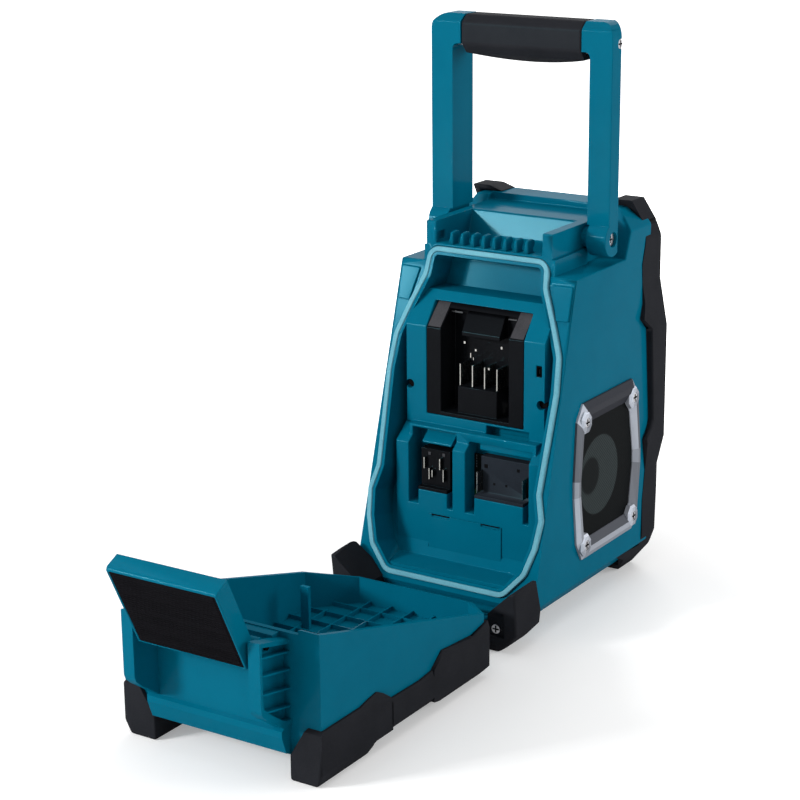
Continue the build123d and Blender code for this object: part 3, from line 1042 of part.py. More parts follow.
grip_half = GRIP_HALF - SOFT_GAP
with BuildPart() as handle_grip:
    with BuildSketch(Plane.XZ):
        with BuildLine():
            Polyline((-grip_half, belly_end), (-grip_half, GRIP_TOP), (grip_half, GRIP_TOP),
                     (grip_half, belly_end))
            ThreePointArc((grip_half, belly_end), (0, belly_z), (-grip_half, belly_end))
        make_face()
    extrude(amount=ARM_DEPTH)
    prism_x(grip_side[1:5] + [(-ARM_DEPTH, grip_foot), (-ARM_DEPTH + 6, belly_end), (-ARM_DEPTH / 2, belly_z),
                              (-6, belly_end), (0, grip_foot)], -grip_half, grip_half, mode=Mode.INTERSECT)
    block(-grip_half - CUT, grip_half + CUT, CORE_FRONT - FIT, CORE_REAR + FIT, core_foot - FIT,
          core_top + FIT,
          mode=Mode.SUBTRACT)
save(handle_grip.part, "handle_grip")

screw_seat = ARM_OUT - HANDLE_SCREW_SEAT
with BuildPart() as screw_right:
    rod_x(SCREW_SHANK, CORE_HALF + FIT, screw_seat, HANDLE_SCREW_Y, handle_screw_z)
    rod_x(SCREW_HEAD, screw_seat, screw_seat + 2, HANDLE_SCREW_Y, handle_screw_z)
with BuildPart() as handle_screws:
    add(screw_right.part)
    add(mirror(screw_right.part, about=Plane.YZ))
save(handle_screws.part, "handle_screws")

pivot_seat = ARM_OUT - PIVOT_SINK + RUN
with BuildPart() as pivot_right:
    rod_x(PIVOT_RADIUS, BOSS_FLOOR + FIT, pivot_seat, HANDLE_Y, HANDLE_Z)
    rod_x(PIVOT_HEAD, pivot_seat, pivot_seat + PIVOT_HEAD_HEIGHT, HANDLE_Y, HANDLE_Z)
with BuildPart() as handle_pivots:
    add(pivot_right.part)
    add(mirror(pivot_right.part, about=Plane.YZ))
save(handle_pivots.part, "handle_pivots")
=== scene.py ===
import math

import bmesh
import bpy
import numpy as np
from mathutils import Matrix, Vector
from mathutils.bvhtree import BVHTree


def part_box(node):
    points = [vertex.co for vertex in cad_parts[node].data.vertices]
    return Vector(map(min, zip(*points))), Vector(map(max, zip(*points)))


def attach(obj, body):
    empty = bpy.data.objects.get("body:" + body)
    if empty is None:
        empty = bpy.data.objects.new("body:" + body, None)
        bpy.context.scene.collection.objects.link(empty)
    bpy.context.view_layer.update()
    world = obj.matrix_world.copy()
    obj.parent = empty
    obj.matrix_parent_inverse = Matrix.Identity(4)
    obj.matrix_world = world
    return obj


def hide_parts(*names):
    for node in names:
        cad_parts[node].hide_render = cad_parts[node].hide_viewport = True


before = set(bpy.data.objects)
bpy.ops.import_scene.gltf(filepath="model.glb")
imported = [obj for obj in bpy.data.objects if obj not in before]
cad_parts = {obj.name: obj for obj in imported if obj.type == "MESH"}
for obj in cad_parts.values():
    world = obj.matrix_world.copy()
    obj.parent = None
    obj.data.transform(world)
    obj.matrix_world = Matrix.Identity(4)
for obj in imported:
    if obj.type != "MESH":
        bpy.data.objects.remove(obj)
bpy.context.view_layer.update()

mm = 0.001

cameraSetup = {
    "place": (-0.789378, 1.385131, 0.621712),
    "azimuth": 212.953,  # degrees, 180 looks along -Y
    "elevation": 16.581,
    "roll": -0.5157,
    "lens": 96.27,
    "sensor": 36.0,
}


def makeCamera():
    azimuth, elevation, roll = (math.radians(cameraSetup[k]) for k in ("azimuth", "elevation", "roll"))
    back = Vector((math.sin(azimuth) * math.cos(elevation), -math.cos(azimuth) * math.cos(elevation),
                   math.sin(elevation)))
    right = (-back).cross(Vector((0, 0, 1))).normalized()
    up = right.cross(-back)
    right, up = (right * math.cos(roll) + up * math.sin(roll), -right * math.sin(roll) + up * math.cos(roll))
    lensData = bpy.data.cameras.new("camera")
    lensData.lens, lensData.sensor_width = cameraSetup["lens"], cameraSetup["sensor"]
    lensData.clip_start, lensData.clip_end = 0.05, 60
    camera = bpy.data.objects.new("camera", lensData)
    bpy.context.scene.collection.objects.link(camera)
    turn = Matrix((right, up, back)).transposed().to_4x4()
    camera.matrix_world = Matrix.Translation(cameraSetup["place"]) @ turn
    bpy.context.scene.camera = camera


# each box of light: where it aims, the direction it stands in, how far off, width and height, watts
lampSetup = {
    "keySoftbox": {"aim": (0.0, 0.0, 0.28), "toward": (0.513, 0.812, 0.278), "distance": 2.34,
                   "size": (0.42, 0.32), "power": 34, "diffuse": True, "glossy": False},
    "keyGlint": {"aim": (0.0, 0.0, 0.28), "toward": (0.50, 0.80, 0.30), "distance": 2.34,
                 "size": (0.44, 0.14), "power": 42, "diffuse": False, "glossy": True,
                 "colour": (0.36, 0.86, 1.0)},
    "padGlint": {"aim": (0.0, 0.0, 0.28), "toward": (0.549, 0.811, 0.2007), "distance": 2.367,
                 "size": (0.16, 0.16), "power": 15, "diffuse": False, "glossy": True,
                 "colour": (0.30, 0.84, 1.0)},
    "keyFill": {"aim": (0.0, 0.1, 0.2), "toward": (0.45, 0.80, 0.45), "distance": 2.2,
                "size": (1.6, 1.0), "power": 10, "diffuse": True, "glossy": False},
    "sideSoftbox": {"aim": (-0.08, 0.05, 0.2), "toward": (-0.86, -0.42, 0.28), "distance": 1.9,
                    "size": (1.0, 1.0), "power": 18, "diffuse": True, "glossy": False},
    "topSoftbox": {"aim": (0.0, 0.1, 0.2), "toward": (-0.1, 0.1, 1.0), "distance": 1.9,
                   "size": (1.5, 1.5), "power": 8, "diffuse": True, "glossy": False},
    "frontSoftbox": {"aim": (0.0, 0.0, 0.2), "toward": (0.35, -0.9, 0.45), "distance": 2.0,
                     "size": (1.2, 1.0), "power": 18, "diffuse": True, "glossy": True},
}


def makeLamps():
    for lampName, lamp in lampSetup.items():
        lampData = bpy.data.lights.new(lampName, "AREA")
        lampData.shape = "RECTANGLE"
        lampData.size, lampData.size_y = lamp["size"]
        lampData.energy, lampData.color = lamp["power"], lamp.get("colour", (1, 1, 1))
        toward = Vector(lamp["toward"]).normalized()
        holder = bpy.data.objects.new(lampName, lampData)
        bpy.context.scene.collection.objects.link(holder)
        holder.location = Vector(lamp["aim"]) + toward * lamp["distance"]
        holder.rotation_mode = "QUATERNION"
        holder.rotation_quaternion = (-toward).to_track_quat("-Z", "Y")
        holder.visible_diffuse, holder.visible_glossy = lamp["diffuse"], lamp["glossy"]


class Wire:
    # a socket that takes part in sums: each operator adds one Math node
    def __init__(self, paint, socket):
        self.paint, self.socket = paint, socket

    def maths(self, operation, *terms):
        return self.paint.node("ShaderNodeMath", {"operation": operation}, dict(enumerate(terms)))

    def __add__(self, other):
        return self.maths("ADD", self, other)

    def __radd__(self, other):
        return self.maths("ADD", other, self)

    def __sub__(self, other):
        return self.maths("SUBTRACT", self, other)

    def __rsub__(self, other):
        return self.maths("SUBTRACT", other, self)

    def __mul__(self, other):
        return self.maths("MULTIPLY", self, other)

    def __rmul__(self, other):
        return self.maths("MULTIPLY", other, self)

    def __truediv__(self, other):
        return self.maths("DIVIDE", self, other)

    def __pow__(self, other):
        return self.maths("POWER", self, other)

    def clipped(self):
        return self.paint.node("ShaderNodeClamp", {}, {0: self, 1: 0.0, 2: 1.0})


class Paint:
    # one material: node() adds any node and gives its output back as a Wire
    def __init__(self, title, tree=None):
        if tree is None:
            self.material = bpy.data.materials.new(title)
            self.material.use_nodes = True
            tree = self.material.node_tree
            self.surface = tree.nodes["Principled BSDF"]
        self.tree = tree

    def node(self, kind, settings, feeds, output=0):
        made = self.tree.nodes.new(kind)
        for key, item in settings.items():
            if key == "stops":
                ramp = made.color_ramp.elements
                while len(ramp) < len(item):
                    ramp.new(0.5)
                for stop, (place, colour) in zip(ramp, item):
                    stop.position, stop.color = place, (*colour, 1)
            else:
                setattr(made, key, item)
        for key, item in feeds.items():
            self.feed(made.inputs[key], item)
        return Wire(self, made.outputs[output])

    def feed(self, socket, item):
        if isinstance(item, Wire):
            self.tree.links.new(item.socket, socket)
        elif socket.type == "RGBA" and len(item) == 3:
            socket.default_value = (*item, 1)
        else:
            socket.default_value = item

    def coat(self, **feeds):
        for key, item in feeds.items():
            self.feed(self.surface.inputs[key.replace("_", " ")], item)

    def place(self):
        return self.node("ShaderNodeTexCoord", {}, {}, "Object")

    def noise(self, scale, detail=2.0, roughness=0.5, where=None):
        return self.node("ShaderNodeTexNoise", {}, {"Vector": where or self.place(), "Scale": scale,
                                                    "Detail": detail, "Roughness": roughness})

    def blend(self, factor, first, second):
        return self.node("ShaderNodeMix", {"data_type": "RGBA", "blend_type": "MIX", "clamp_factor": True},
                         {0: factor, 6: first, 7: second}, 2)

    def bump(self, height, strength, distance):
        return self.node("ShaderNodeBump", {}, {"Height": height, "Strength": strength, "Distance": distance})

    def axes(self):
        # x, y and z of the place
        split = self.node("ShaderNodeSeparateXYZ", {}, {0: self.place()})
        return [Wire(self, output) for output in split.socket.node.outputs]

    def seen(self):
        # 1 where the camera looks straight, by a mirror or through glass, 0 for light that falls on things
        camera = self.node("ShaderNodeLightPath", {}, {}, "Is Camera Ray")
        glossy, through = (Wire(self, camera.socket.node.outputs[title])
                           for title in ("Is Glossy Ray", "Is Transmission Ray"))
        return (camera + glossy + through).clipped()


# a moulded finish: two shades, roughness and its spread, grain size and depth in metres, how much coat it has
# and how rough that coat is
finishes = {
    "tealPlastic": {"colour": (0.0006, 0.128, 0.208), "shade": (0.0004, 0.112, 0.185), "roughness": 0.34,
                    "spread": 0.08, "grain": 1600, "depth": 0.00003, "coat": 0.06, "sheen": 0.13},
    "bumperRubber": {"colour": (0.019, 0.020, 0.024), "shade": (0.013, 0.014, 0.017), "roughness": 0.50,
                     "spread": 0.14, "grain": 1300, "depth": 0.00006, "coat": 0.05, "sheen": 0.42},
    "gripRubber": {"colour": (0.019, 0.020, 0.024), "shade": (0.014, 0.015, 0.018), "roughness": 0.50,
                   "spread": 0.14, "grain": 1800, "depth": 0.00006, "coat": 0.06, "sheen": 0.45},
    "sealRubber": {"colour": (0.15, 0.40, 0.49), "shade": (0.09, 0.29, 0.38), "roughness": 0.45,
                   "spread": 0.12, "grain": 900, "depth": 0.00003, "coat": 0.05, "sheen": 0.35},
    "padRubber": {"colour": (0.0088, 0.0086, 0.0102), "shade": (0.0065, 0.0064, 0.0076), "roughness": 0.7,
                  "spread": 0.10, "grain": 1300, "depth": 0.00002, "coat": 0.0, "sheen": 0.5},
    "blackPlastic": {"colour": (0.0055, 0.0062, 0.0078), "shade": (0.0038, 0.0043, 0.0054), "roughness": 0.36,
                     "spread": 0.12, "grain": 1500, "depth": 0.00003, "coat": 0.06, "sheen": 0.25},
    "greyPlastic": {"colour": (0.10, 0.105, 0.11), "shade": (0.07, 0.075, 0.08), "roughness": 0.42,
                    "spread": 0.12, "grain": 1500, "depth": 0.00003, "coat": 0.15, "sheen": 0.35},
    "silverPlastic": {"colour": (0.095, 0.115, 0.145), "shade": (0.070, 0.085, 0.110), "roughness": 0.36,
                      "spread": 0.10, "grain": 2200, "depth": 0.00002, "coat": 0.12, "sheen": 0.30},
    "grilleMetal": {"colour": (0.026, 0.032, 0.033), "shade": (0.018, 0.022, 0.023), "roughness": 0.45,
                    "spread": 0.12, "grain": 1600, "depth": 0.00002, "coat": 0.08, "sheen": 0.35},
    "conePaper": {"colour": (0.016, 0.017, 0.018), "shade": (0.009, 0.010, 0.010), "roughness": 0.75,
                  "spread": 0.10, "grain": 700, "depth": 0.00008, "coat": 0.02, "sheen": 0.6},
    # a pale grey; on the terminal block's shoulders its lightness is a painted reflection
    "wornPlastic": {"colour": (0.060, 0.060, 0.066), "shade": (0.036, 0.036, 0.040), "roughness": 0.5,
                    "spread": 0.12, "grain": 1100, "depth": 0.00005, "coat": 0.06, "sheen": 0.4},
    "darkTerminal": {"colour": (0.020, 0.025, 0.033), "shade": (0.013, 0.016, 0.022), "roughness": 0.42,
                     "spread": 0.12, "grain": 1500, "depth": 0.00003, "coat": 0.08, "sheen": 0.35},
}
metals = {
    "screwSteel": {"colour": (0.48, 0.48, 0.50), "shade": (0.30, 0.30, 0.32),
                   "roughness": 0.34, "spread": 0.2},
    "contactMetal": {"colour": (0.35, 0.34, 0.32), "shade": (0.26, 0.25, 0.23),
                     "roughness": 0.25, "spread": 0.08},
    "basketSteel": {"colour": (0.12, 0.12, 0.13), "shade": (0.07, 0.07, 0.08),
                    "roughness": 0.45, "spread": 0.2},
    "magnetFerrite": {"colour": (0.05, 0.05, 0.055), "shade": (0.03, 0.03, 0.033),
                      "roughness": 0.6, "spread": 0.2},
}
mouldedLook = {"cloudScale": 38, "cloudFrom": 0.35, "cloudGain": 1.6, "speckleShare": 0.8, "speckleGain": 0.9,
               "grainGloss": 0.05, "bump": 0.5}
metalLook = {"cloudScale": 120, "cloudFrom": 0.3, "cloudGain": 1.4, "stretch": (4000, 500, 900), "bump": 0.3,
             "depth": 0.00001}
paints = {}


def makeMouldedFinish(title, finish):
    # slow clouds of a second shade, a fine speckle, and a shallow grain like etched tool steel leaves
    paint, look = Paint(title), mouldedLook
    clouds = paint.noise(look["cloudScale"], 3.0, 0.55)
    speckle = paint.noise(finish["grain"] * look["speckleShare"], 1.0, 0.5)
    cloudy = (clouds - look["cloudFrom"]) * look["cloudGain"]
    shade = (cloudy + (speckle - 0.5) * look["speckleGain"]).clipped()
    grain = paint.noise(finish["grain"], 2.0, 0.6)
    roughness = finish["roughness"] + (clouds - 0.5) * finish["spread"] + (grain - 0.5) * look["grainGloss"]
    paint.coat(Base_Color=paint.blend(shade, finish["colour"], finish["shade"]), Roughness=roughness,
               Normal=paint.bump(grain, look["bump"], finish["depth"]),
               Specular_IOR_Level=0.0, Coat_Weight=finish["coat"], Coat_Roughness=finish["sheen"])
    paints[title] = paint.material


def makeMetalFinish(title, finish):
    # rolled metal: stretched scratches across slow clouds of a darker shade
    paint, look = Paint(title), metalLook
    clouds = paint.noise(look["cloudScale"], 3.0, 0.6)
    stretched = paint.node("ShaderNodeMapping", {}, {"Vector": paint.place(), "Scale": look["stretch"]})
    scratches = paint.noise(1.0, 2.0, 0.5, stretched)
    shade = ((clouds - look["cloudFrom"]) * look["cloudGain"]).clipped()
    paint.coat(Base_Color=paint.blend(shade, finish["colour"], finish["shade"]),
               Roughness=finish["roughness"] + (scratches - 0.5) * finish["spread"], Metallic=1.0,
               Normal=paint.bump(scratches, look["bump"], look["depth"]))
    paints[title] = paint.material


def makeOtherFinishes():
    paint = Paint("displayGlass")
    smudges = paint.noise(60, 4.0, 0.6)
    paint.coat(Base_Color=paint.blend(smudges, (0.010, 0.012, 0.013), (0.016, 0.019, 0.021)),
               Roughness=0.05 + (smudges - 0.4) * 0.12, Coat_Weight=0.6)
    paints["displayGlass"] = paint.material
    paint = Paint("boardLaminate")
    weave = paint.node("ShaderNodeTexWave", {"wave_type": "BANDS", "bands_direction": "DIAGONAL"},
                       {"Vector": paint.place(), "Scale": 900.0, "Distortion": 1.5})
    paint.coat(Base_Color=paint.blend(weave, (0.008, 0.09, 0.03), (0.012, 0.12, 0.045)),
               Roughness=0.42 + weave * 0.1, Normal=paint.bump(weave, 0.3, 0.00002))
    paints["boardLaminate"] = paint.material


for title, finish in finishes.items():
    makeMouldedFinish(title, finish)
for title, finish in metals.items():
    makeMetalFinish(title, finish)
makeOtherFinishes()
print("finishes made:", len(paints))


# floor and surroundings: shades, size in metres, sky light, and the floor's glow from near to far
studioSetup = {
    "floorColour": (0.80, 0.80, 0.80),
    "floorShade": (0.82, 0.82, 0.82),
    "floorSize": 24.0,
    "ambient": 0.36,
    "middle": (0.0, 0.14, 0.0),
    "glowFrom": 0.25,  # metres from the middle
    "glowTo": 0.95,
    "nearGlow": 0.30,
    "farGlow": 1.1,
}


def makeStudio():
    # the floor shows its shaded colour near the object, so that the shadow stays, and is white farther out
    look = studioSetup
    paint = Paint("studioFloor")
    paint.coat(Base_Color=paint.blend(paint.noise(3, 2.0), look["floorColour"], look["floorShade"]),
               Roughness=0.9, Specular_IOR_Level=0.0)
    away = paint.node("ShaderNodeVectorMath", {"operation": "DISTANCE"},
                      {0: paint.place(), 1: look["middle"]}, "Value")
    outer = ((away - look["glowFrom"]) / (look["glowTo"] - look["glowFrom"])).clipped()
    glow = look["nearGlow"] + outer * (look["farGlow"] - look["nearGlow"])
    paint.coat(Emission_Color=(1, 1, 1), Emission_Strength=paint.seen() * glow)
    half = look["floorSize"] / 2
    floorMesh = bpy.data.meshes.new("studioFloor")
    floorMesh.from_pydata([(-half, -half, 0), (half, -half, 0), (half, half, 0), (-half, half, 0)], [],
                          [(0, 1, 2, 3)])
    floorMesh.materials.append(paint.material)
    floor = bpy.data.objects.new("studioFloor", floorMesh)
    bpy.context.scene.collection.objects.link(floor)
    world = bpy.data.worlds.new("studioWorld")
    bpy.context.scene.world = world
    world.use_nodes = True
    sky = Paint("studioWorld", world.node_tree)
    backdrop = world.node_tree.nodes["Background"]
    sky.feed(backdrop.inputs["Color"], sky.blend(sky.seen(), (look["ambient"],) * 3, (1, 1, 1)))
    backdrop.inputs["Strength"].default_value = 1.0


makeCamera()
makeLamps()
makeStudio()
bpy.context.scene.view_settings.view_transform = "Standard"
print("camera, lamps and floor placed")

# how creases are found on a node's mesh and rounded: turns in degrees, lengths in metres
edgeRules = {
    "flat": 0.6,  # a turn below this joins neighbouring triangles into one flat face
    "alwaysSmooth": 3.4,
    "softTurn": 28.0,  # a turn below this is smooth where it borders a narrow strip of a rounded surface
    "bevelTurn": 11.0,
    "chainTurn": 50.0,  # edges that meet at less than this form one chain
    "stripWidth": 6 * mm,
    "leastBevel": 0.06 * mm,
    "weld": 2e-6,
    "segments": 3,
    "fitRounds": 3,
    "depthShare": 0.45,  # of the way across a face that one width may take
    "sideShare": 0.9,  # of a side that the widths at its two ends may take
    "slackShare": 0.75,  # of the width, plus the slack, that a corner may lie off the source surface
    "slack": 0.03 * mm,
    "turnedBack": 0.35,  # a facing this far against the source, -1 being opposite, is astray
    "leastArea": 1e-10,  # triangles with less than half of this are left out
    "near": 1.6,  # widths from a stray corner within which chains shrink
    "halvings": 2,  # tries that halve a width, later ones drop it
    "middleTries": 3,  # tries that look from a stray triangle's middle alone
    "tries": 8,
}


def faceRing(face):
    # the corner points of a face, the unit direction and length of each side, and the inward direction
    points = np.array([loop.vert.co for loop in face.loops])
    along = np.roll(points, -1, axis=0) - points
    lengths = np.maximum(np.linalg.norm(along, axis=1), 1e-9)
    along /= lengths[:, None]
    return points, along, lengths, np.cross(np.array(face.normal), along)


def creasesOf(shape):
    # a crease is a sharp turn, or a slight one between two broad faces
    strips = set()
    for face in shape.faces:
        gentle = [e for e in face.edges if len(e.link_faces) == 2 and
                  edgeRules["flat"] < math.degrees(e.calc_face_angle(0.0)) < edgeRules["softTurn"]]
        longest = max(e.calc_length() for e in face.edges)
        if len(gentle) >= 2 and face.calc_area() < edgeRules["stripWidth"] * longest:
            strips.add(face)
    creases = {}
    for edge in shape.edges:
        if len(edge.link_faces) != 2:
            creases[edge.index] = 180.0
            continue
        turn = math.degrees(edge.calc_face_angle(0.0))
        soft = turn < edgeRules["softTurn"] and any(face in strips for face in edge.link_faces)
        if turn > edgeRules["alwaysSmooth"] and not soft:
            creases[edge.index] = turn
    return creases


def fitReach(shape, reach):
    # each width shrinks to under half of the way straight across its faces, and to what their corners leave
    for face in shape.faces:
        sides = [loop.edge.index for loop in face.loops]
        if not any(side in reach for side in sides):
            continue
        points, along, lengths, inward = faceRing(face)
        ahead = np.roll(points, -1, axis=0)
        for k, side in enumerate(sides):
            if side not in reach:
                continue
            for share in (0.1, 0.5, 0.9):
                start = points[k] + along[k] * lengths[k] * share
                ax, bx = (points - start) @ along[k], (ahead - start) @ along[k]
                ay, by = (points - start) @ inward[k], (ahead - start) @ inward[k]
                crossed = ax * bx < 0
                crossed[k] = False
                depth = ay - ax * (by - ay) / np.where(crossed, bx - ax, 1.0)
                depth = depth[crossed & (depth > 1e-7)]
                if len(depth):
                    reach[side] = min(reach[side], edgeRules["depthShare"] * float(depth.min()))
        before = np.roll(along, 1, axis=0)
        turn = np.arctan2(np.cross(before, along) @ np.array(face.normal), (before * along).sum(axis=1))
        count = len(sides)
        for k, side in enumerate(sides):
            used = 0.0
            for corner, other in ((k, sides[k - 1]), ((k + 1) % count, sides[(k + 1) % count])):
                own, theirs, angle = reach.get(side, 0.0), reach.get(other, 0.0), float(turn[corner])
                if abs(math.sin(angle)) < 0.25:
                    used += max(own, theirs) * math.tan(angle / 2) if abs(angle) < 2 else 0.0
                else:
                    used += (theirs - own * math.cos(angle)) / math.sin(angle)
            if used > edgeRules["sideShare"] * lengths[k]:
                for name in {side, sides[k - 1], sides[(k + 1) % count]} & reach.keys():
                    reach[name] *= edgeRules["sideShare"] * float(lengths[k]) / used


def chainsOf(shape, reach):
    # bevelled edges that run on into each other share one chain
    chain = {index: index for index in reach}

    def root(index):
        while chain[index] != index:
            index = chain[index]
        return index

    for vert in shape.verts:
        meeting = [e for e in vert.link_edges if e.index in reach]
        if len(meeting) == 2:
            first, second = (e.other_vert(vert).co - vert.co for e in meeting)
            if math.degrees(first.angle(-second, 3.0)) < edgeRules["chainTurn"]:
                chain[root(meeting[0].index)] = root(meeting[1].index)
    return {index: root(index) for index in reach}


def strayCorners(piece, tree, slack, known):
    # middle and corners of each finished triangle that has left the source surface or turned against it
    finished = piece.evaluated_get(bpy.context.evaluated_depsgraph_get())
    mesh = finished.to_mesh()
    mesh.calc_loop_triangles()
    corners = np.empty(len(mesh.vertices) * 3)
    mesh.vertices.foreach_get("co", corners)
    corners = corners.reshape(-1, 3)
    triangles = np.empty(len(mesh.loop_triangles) * 3, dtype=int)
    mesh.loop_triangles.foreach_get("vertices", triangles)
    triangles = triangles.reshape(-1, 3)
    finished.to_mesh_clear()
    across = np.cross(corners[triangles[:, 1]] - corners[triangles[:, 0]],
                      corners[triangles[:, 2]] - corners[triangles[:, 0]])
    size = np.linalg.norm(across, axis=1)
    stray = []
    for middle, facing, area, triangle in zip(corners[triangles].mean(axis=1), across, size, triangles):
        if area < edgeRules["leastArea"]:
            continue
        _, normal, _, distance = tree.find_nearest(Vector(middle))
        astray = distance > slack or Vector(facing).dot(normal) < -edgeRules["turnedBack"] * area
        if astray and tuple(np.round(middle, 5)) not in known:
            stray.append(np.vstack((middle, corners[triangle])))
    return stray


def dress(nodeName, paintName, body, radius, slotName):
    # a merged copy of the node whose creases get a bevel, up to radius in mm, as the faces beside them allow
    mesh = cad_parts[nodeName].data.copy()
    mesh.name = nodeName + "_finished"
    shape = bmesh.new()
    shape.from_mesh(mesh)
    bmesh.ops.remove_doubles(shape, verts=shape.verts, dist=edgeRules["weld"])
    bmesh.ops.dissolve_limit(shape, angle_limit=math.radians(edgeRules["flat"]), delimit=set(),
                             use_dissolve_boundaries=False, verts=shape.verts, edges=shape.edges)
    shape.normal_update()
    for group in (shape.verts, shape.edges, shape.faces):
        group.index_update()
        group.ensure_lookup_table()
    width = radius * mm
    creases = creasesOf(shape)
    reach = {index: width for index, turn in creases.items()
             if turn > edgeRules["bevelTurn"] and len(shape.edges[index].link_faces) == 2}
    for _ in range(edgeRules["fitRounds"]):
        fitReach(shape, reach)
    chain = chainsOf(shape, reach)
    least = {}
    for index, name in chain.items():
        least[name] = min(least.get(name, width), reach[index])
    places = np.array([[(e.verts[0].co + e.verts[1].co) / 2, e.verts[0].co, e.verts[1].co]
                       for e in (shape.edges[i] for i in chain)])
    names = np.array(list(chain.values()))
    tree = BVHTree.FromBMesh(shape)
    piece = bpy.data.objects.new(nodeName + "_finished", mesh)
    bpy.context.scene.collection.objects.link(piece)
    bevel = piece.modifiers.new("roundedEdges", "BEVEL")
    bevel.limit_method, bevel.width, bevel.segments = "WEIGHT", width, edgeRules["segments"]
    bevel.offset_type, bevel.use_clamp_overlap = "OFFSET", False
    layerName = "bevel_weight_edge"
    weights = shape.edges.layers.float.get(layerName) or shape.edges.layers.float.new(layerName)
    slack = edgeRules["slackShare"] * width + edgeRules["slack"]
    known = set()
    # round -1, without a bevel, shows what is astray in the source; the last round gives the bevel up
    for attempt in range(-1, edgeRules["tries"] + 1):
        planned = least
        if attempt in (-1, edgeRules["tries"]):
            least = dict.fromkeys(least, 0.0)
        for edge in shape.edges:
            share = least[chain[edge.index]] / width if edge.index in chain else 0.0
            share = share if share * width >= edgeRules["leastBevel"] else 0.0
            edge[weights] = share
            edge.smooth = edge.index not in creases or share > 0
        for face in shape.faces:
            face.smooth, face.material_index = True, 0
        shape.to_mesh(mesh)
        stray = strayCorners(piece, tree, slack, known)
        if attempt == -1:
            known, least = {tuple(np.round(group[0], 5)) for group in stray}, planned
            continue
        if not stray or attempt == edgeRules["tries"]:
            break
        looked = 1 if attempt < edgeRules["middleTries"] else 4
        for point in (place for group in stray for place in group[:looked]):
            gap = np.linalg.norm(places - point, axis=2).min(axis=1)
            for name in set(names[gap < max(edgeRules["near"] * width, gap.min() * 1.01)]):
                least[name] *= 0.5 if attempt < edgeRules["halvings"] else 0.0
    shape.free()
    mesh.materials.clear()
    mesh.materials.append(paints[paintName])
    piece.modifiers.new("evenNormals", "WEIGHTED_NORMAL").keep_sharp = True
    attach(piece, body)
    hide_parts(nodeName)
    square = sum(v < edgeRules["leastBevel"] for v in least.values())
    print(" ", nodeName, "tries", attempt + 1, "unbevelled chains", square, "of", len(least))


# nodes with rounded edges: finish, body, radius in mm, slot
dressed = {
    "main_housing": ("tealPlastic", "radio", 1.3, "teal_plastic"),
    "battery_bay": ("tealPlastic", "radio", 0.9, "teal_plastic"),
    "bay_seal": ("sealRubber", "radio", 0.9, "seal_rubber"),
    "main_terminal_block": ("blackPlastic", "radio", 0.6, "black_plastic"),
    "narrow_slide_terminal": ("blackPlastic", "radio", 0.3, "grey_plastic"),
    "wide_slide_terminal": ("darkTerminal", "radio", 0.3, "grey_plastic"),
    "backup_battery_cover": ("tealPlastic", "radio", 0.5, "teal_plastic"),
    "usb_port": ("blackPlastic", "radio", 0.2, "contact_brass"),
    "front_panel": ("blackPlastic", "radio", 1.0, "black_plastic"),
    "front_bumper_left": ("bumperRubber", "radio", 2.2, "bumper_rubber"),
    "front_bumper_right": ("bumperRubber", "radio", 2.2, "bumper_rubber"),
    "hinge_bumper_left": ("bumperRubber", "radio", 2.0, "bumper_rubber"),
    "hinge_bumper_right": ("bumperRubber", "radio", 2.0, "bumper_rubber"),
    "door_shell": ("tealPlastic", "door", 1.1, "teal_plastic"),
    "door_bumper_left": ("bumperRubber", "door", 2.2, "bumper_rubber"),
    "door_bumper_right": ("bumperRubber", "door", 2.2, "bumper_rubber"),
    "latch_lever": ("tealPlastic", "latch", 1.2, "teal_plastic"),
    "latch_pad": ("padRubber", "latch", 0.25, "bumper_rubber"),
    "handle_arm_left": ("tealPlastic", "handle", 1.8, "teal_plastic"),
    "handle_arm_right": ("tealPlastic", "handle", 1.8, "teal_plastic"),
    "handle_grip": ("gripRubber", "handle", 2.0, "bumper_rubber"),
    "tuning_dial": ("bumperRubber", "dial", 0.8, "bumper_rubber"),
    "port_cover": ("bumperRubber", "port_flap", 0.7, "bumper_rubber"),
}
for title in ("power", "mode", "menu", "preset_1", "preset_2", "preset_3"):
    dressed[title + "_button"] = ("greyPlastic", title + "_button_body", 0.6, "grey_plastic")
for nodeName, how in dressed.items():
    dress(nodeName, *how)
print("carried-over pieces finished:", len(dressed))

# nodes that keep their own mesh, under their finish
kept = {
    # the latch pins are black here as painted shade of the cheek's recess around them
    "blackPlastic": ["latch_pins", "dc_jack", "aux_jack", "encoder", "display_module"],
    "displayGlass": ["display_lens"],
    "boardLaminate": ["main_board"],
    "basketSteel": ["speaker_basket_left", "speaker_basket_right"],
    "screwSteel": ["speaker_screws", "bumper_screws", "hinge_pin", "handle_screws",
                   "handle_pivots", "encoder_shaft", "antenna_socket", "grip_core"],
    "contactMetal": ["main_terminal_contacts", "narrow_slide_contacts", "wide_slide_contacts"],
    "conePaper": ["speaker_cone_left", "speaker_cone_right"],
    "magnetFerrite": ["speaker_magnet_left", "speaker_magnet_right"],
    # the bay screws are painted near-black as painted shade, so they read as dark holes
    "recessBlack": ["bay_screws"],
    "riserLaminate": ["terminal_board"],
}


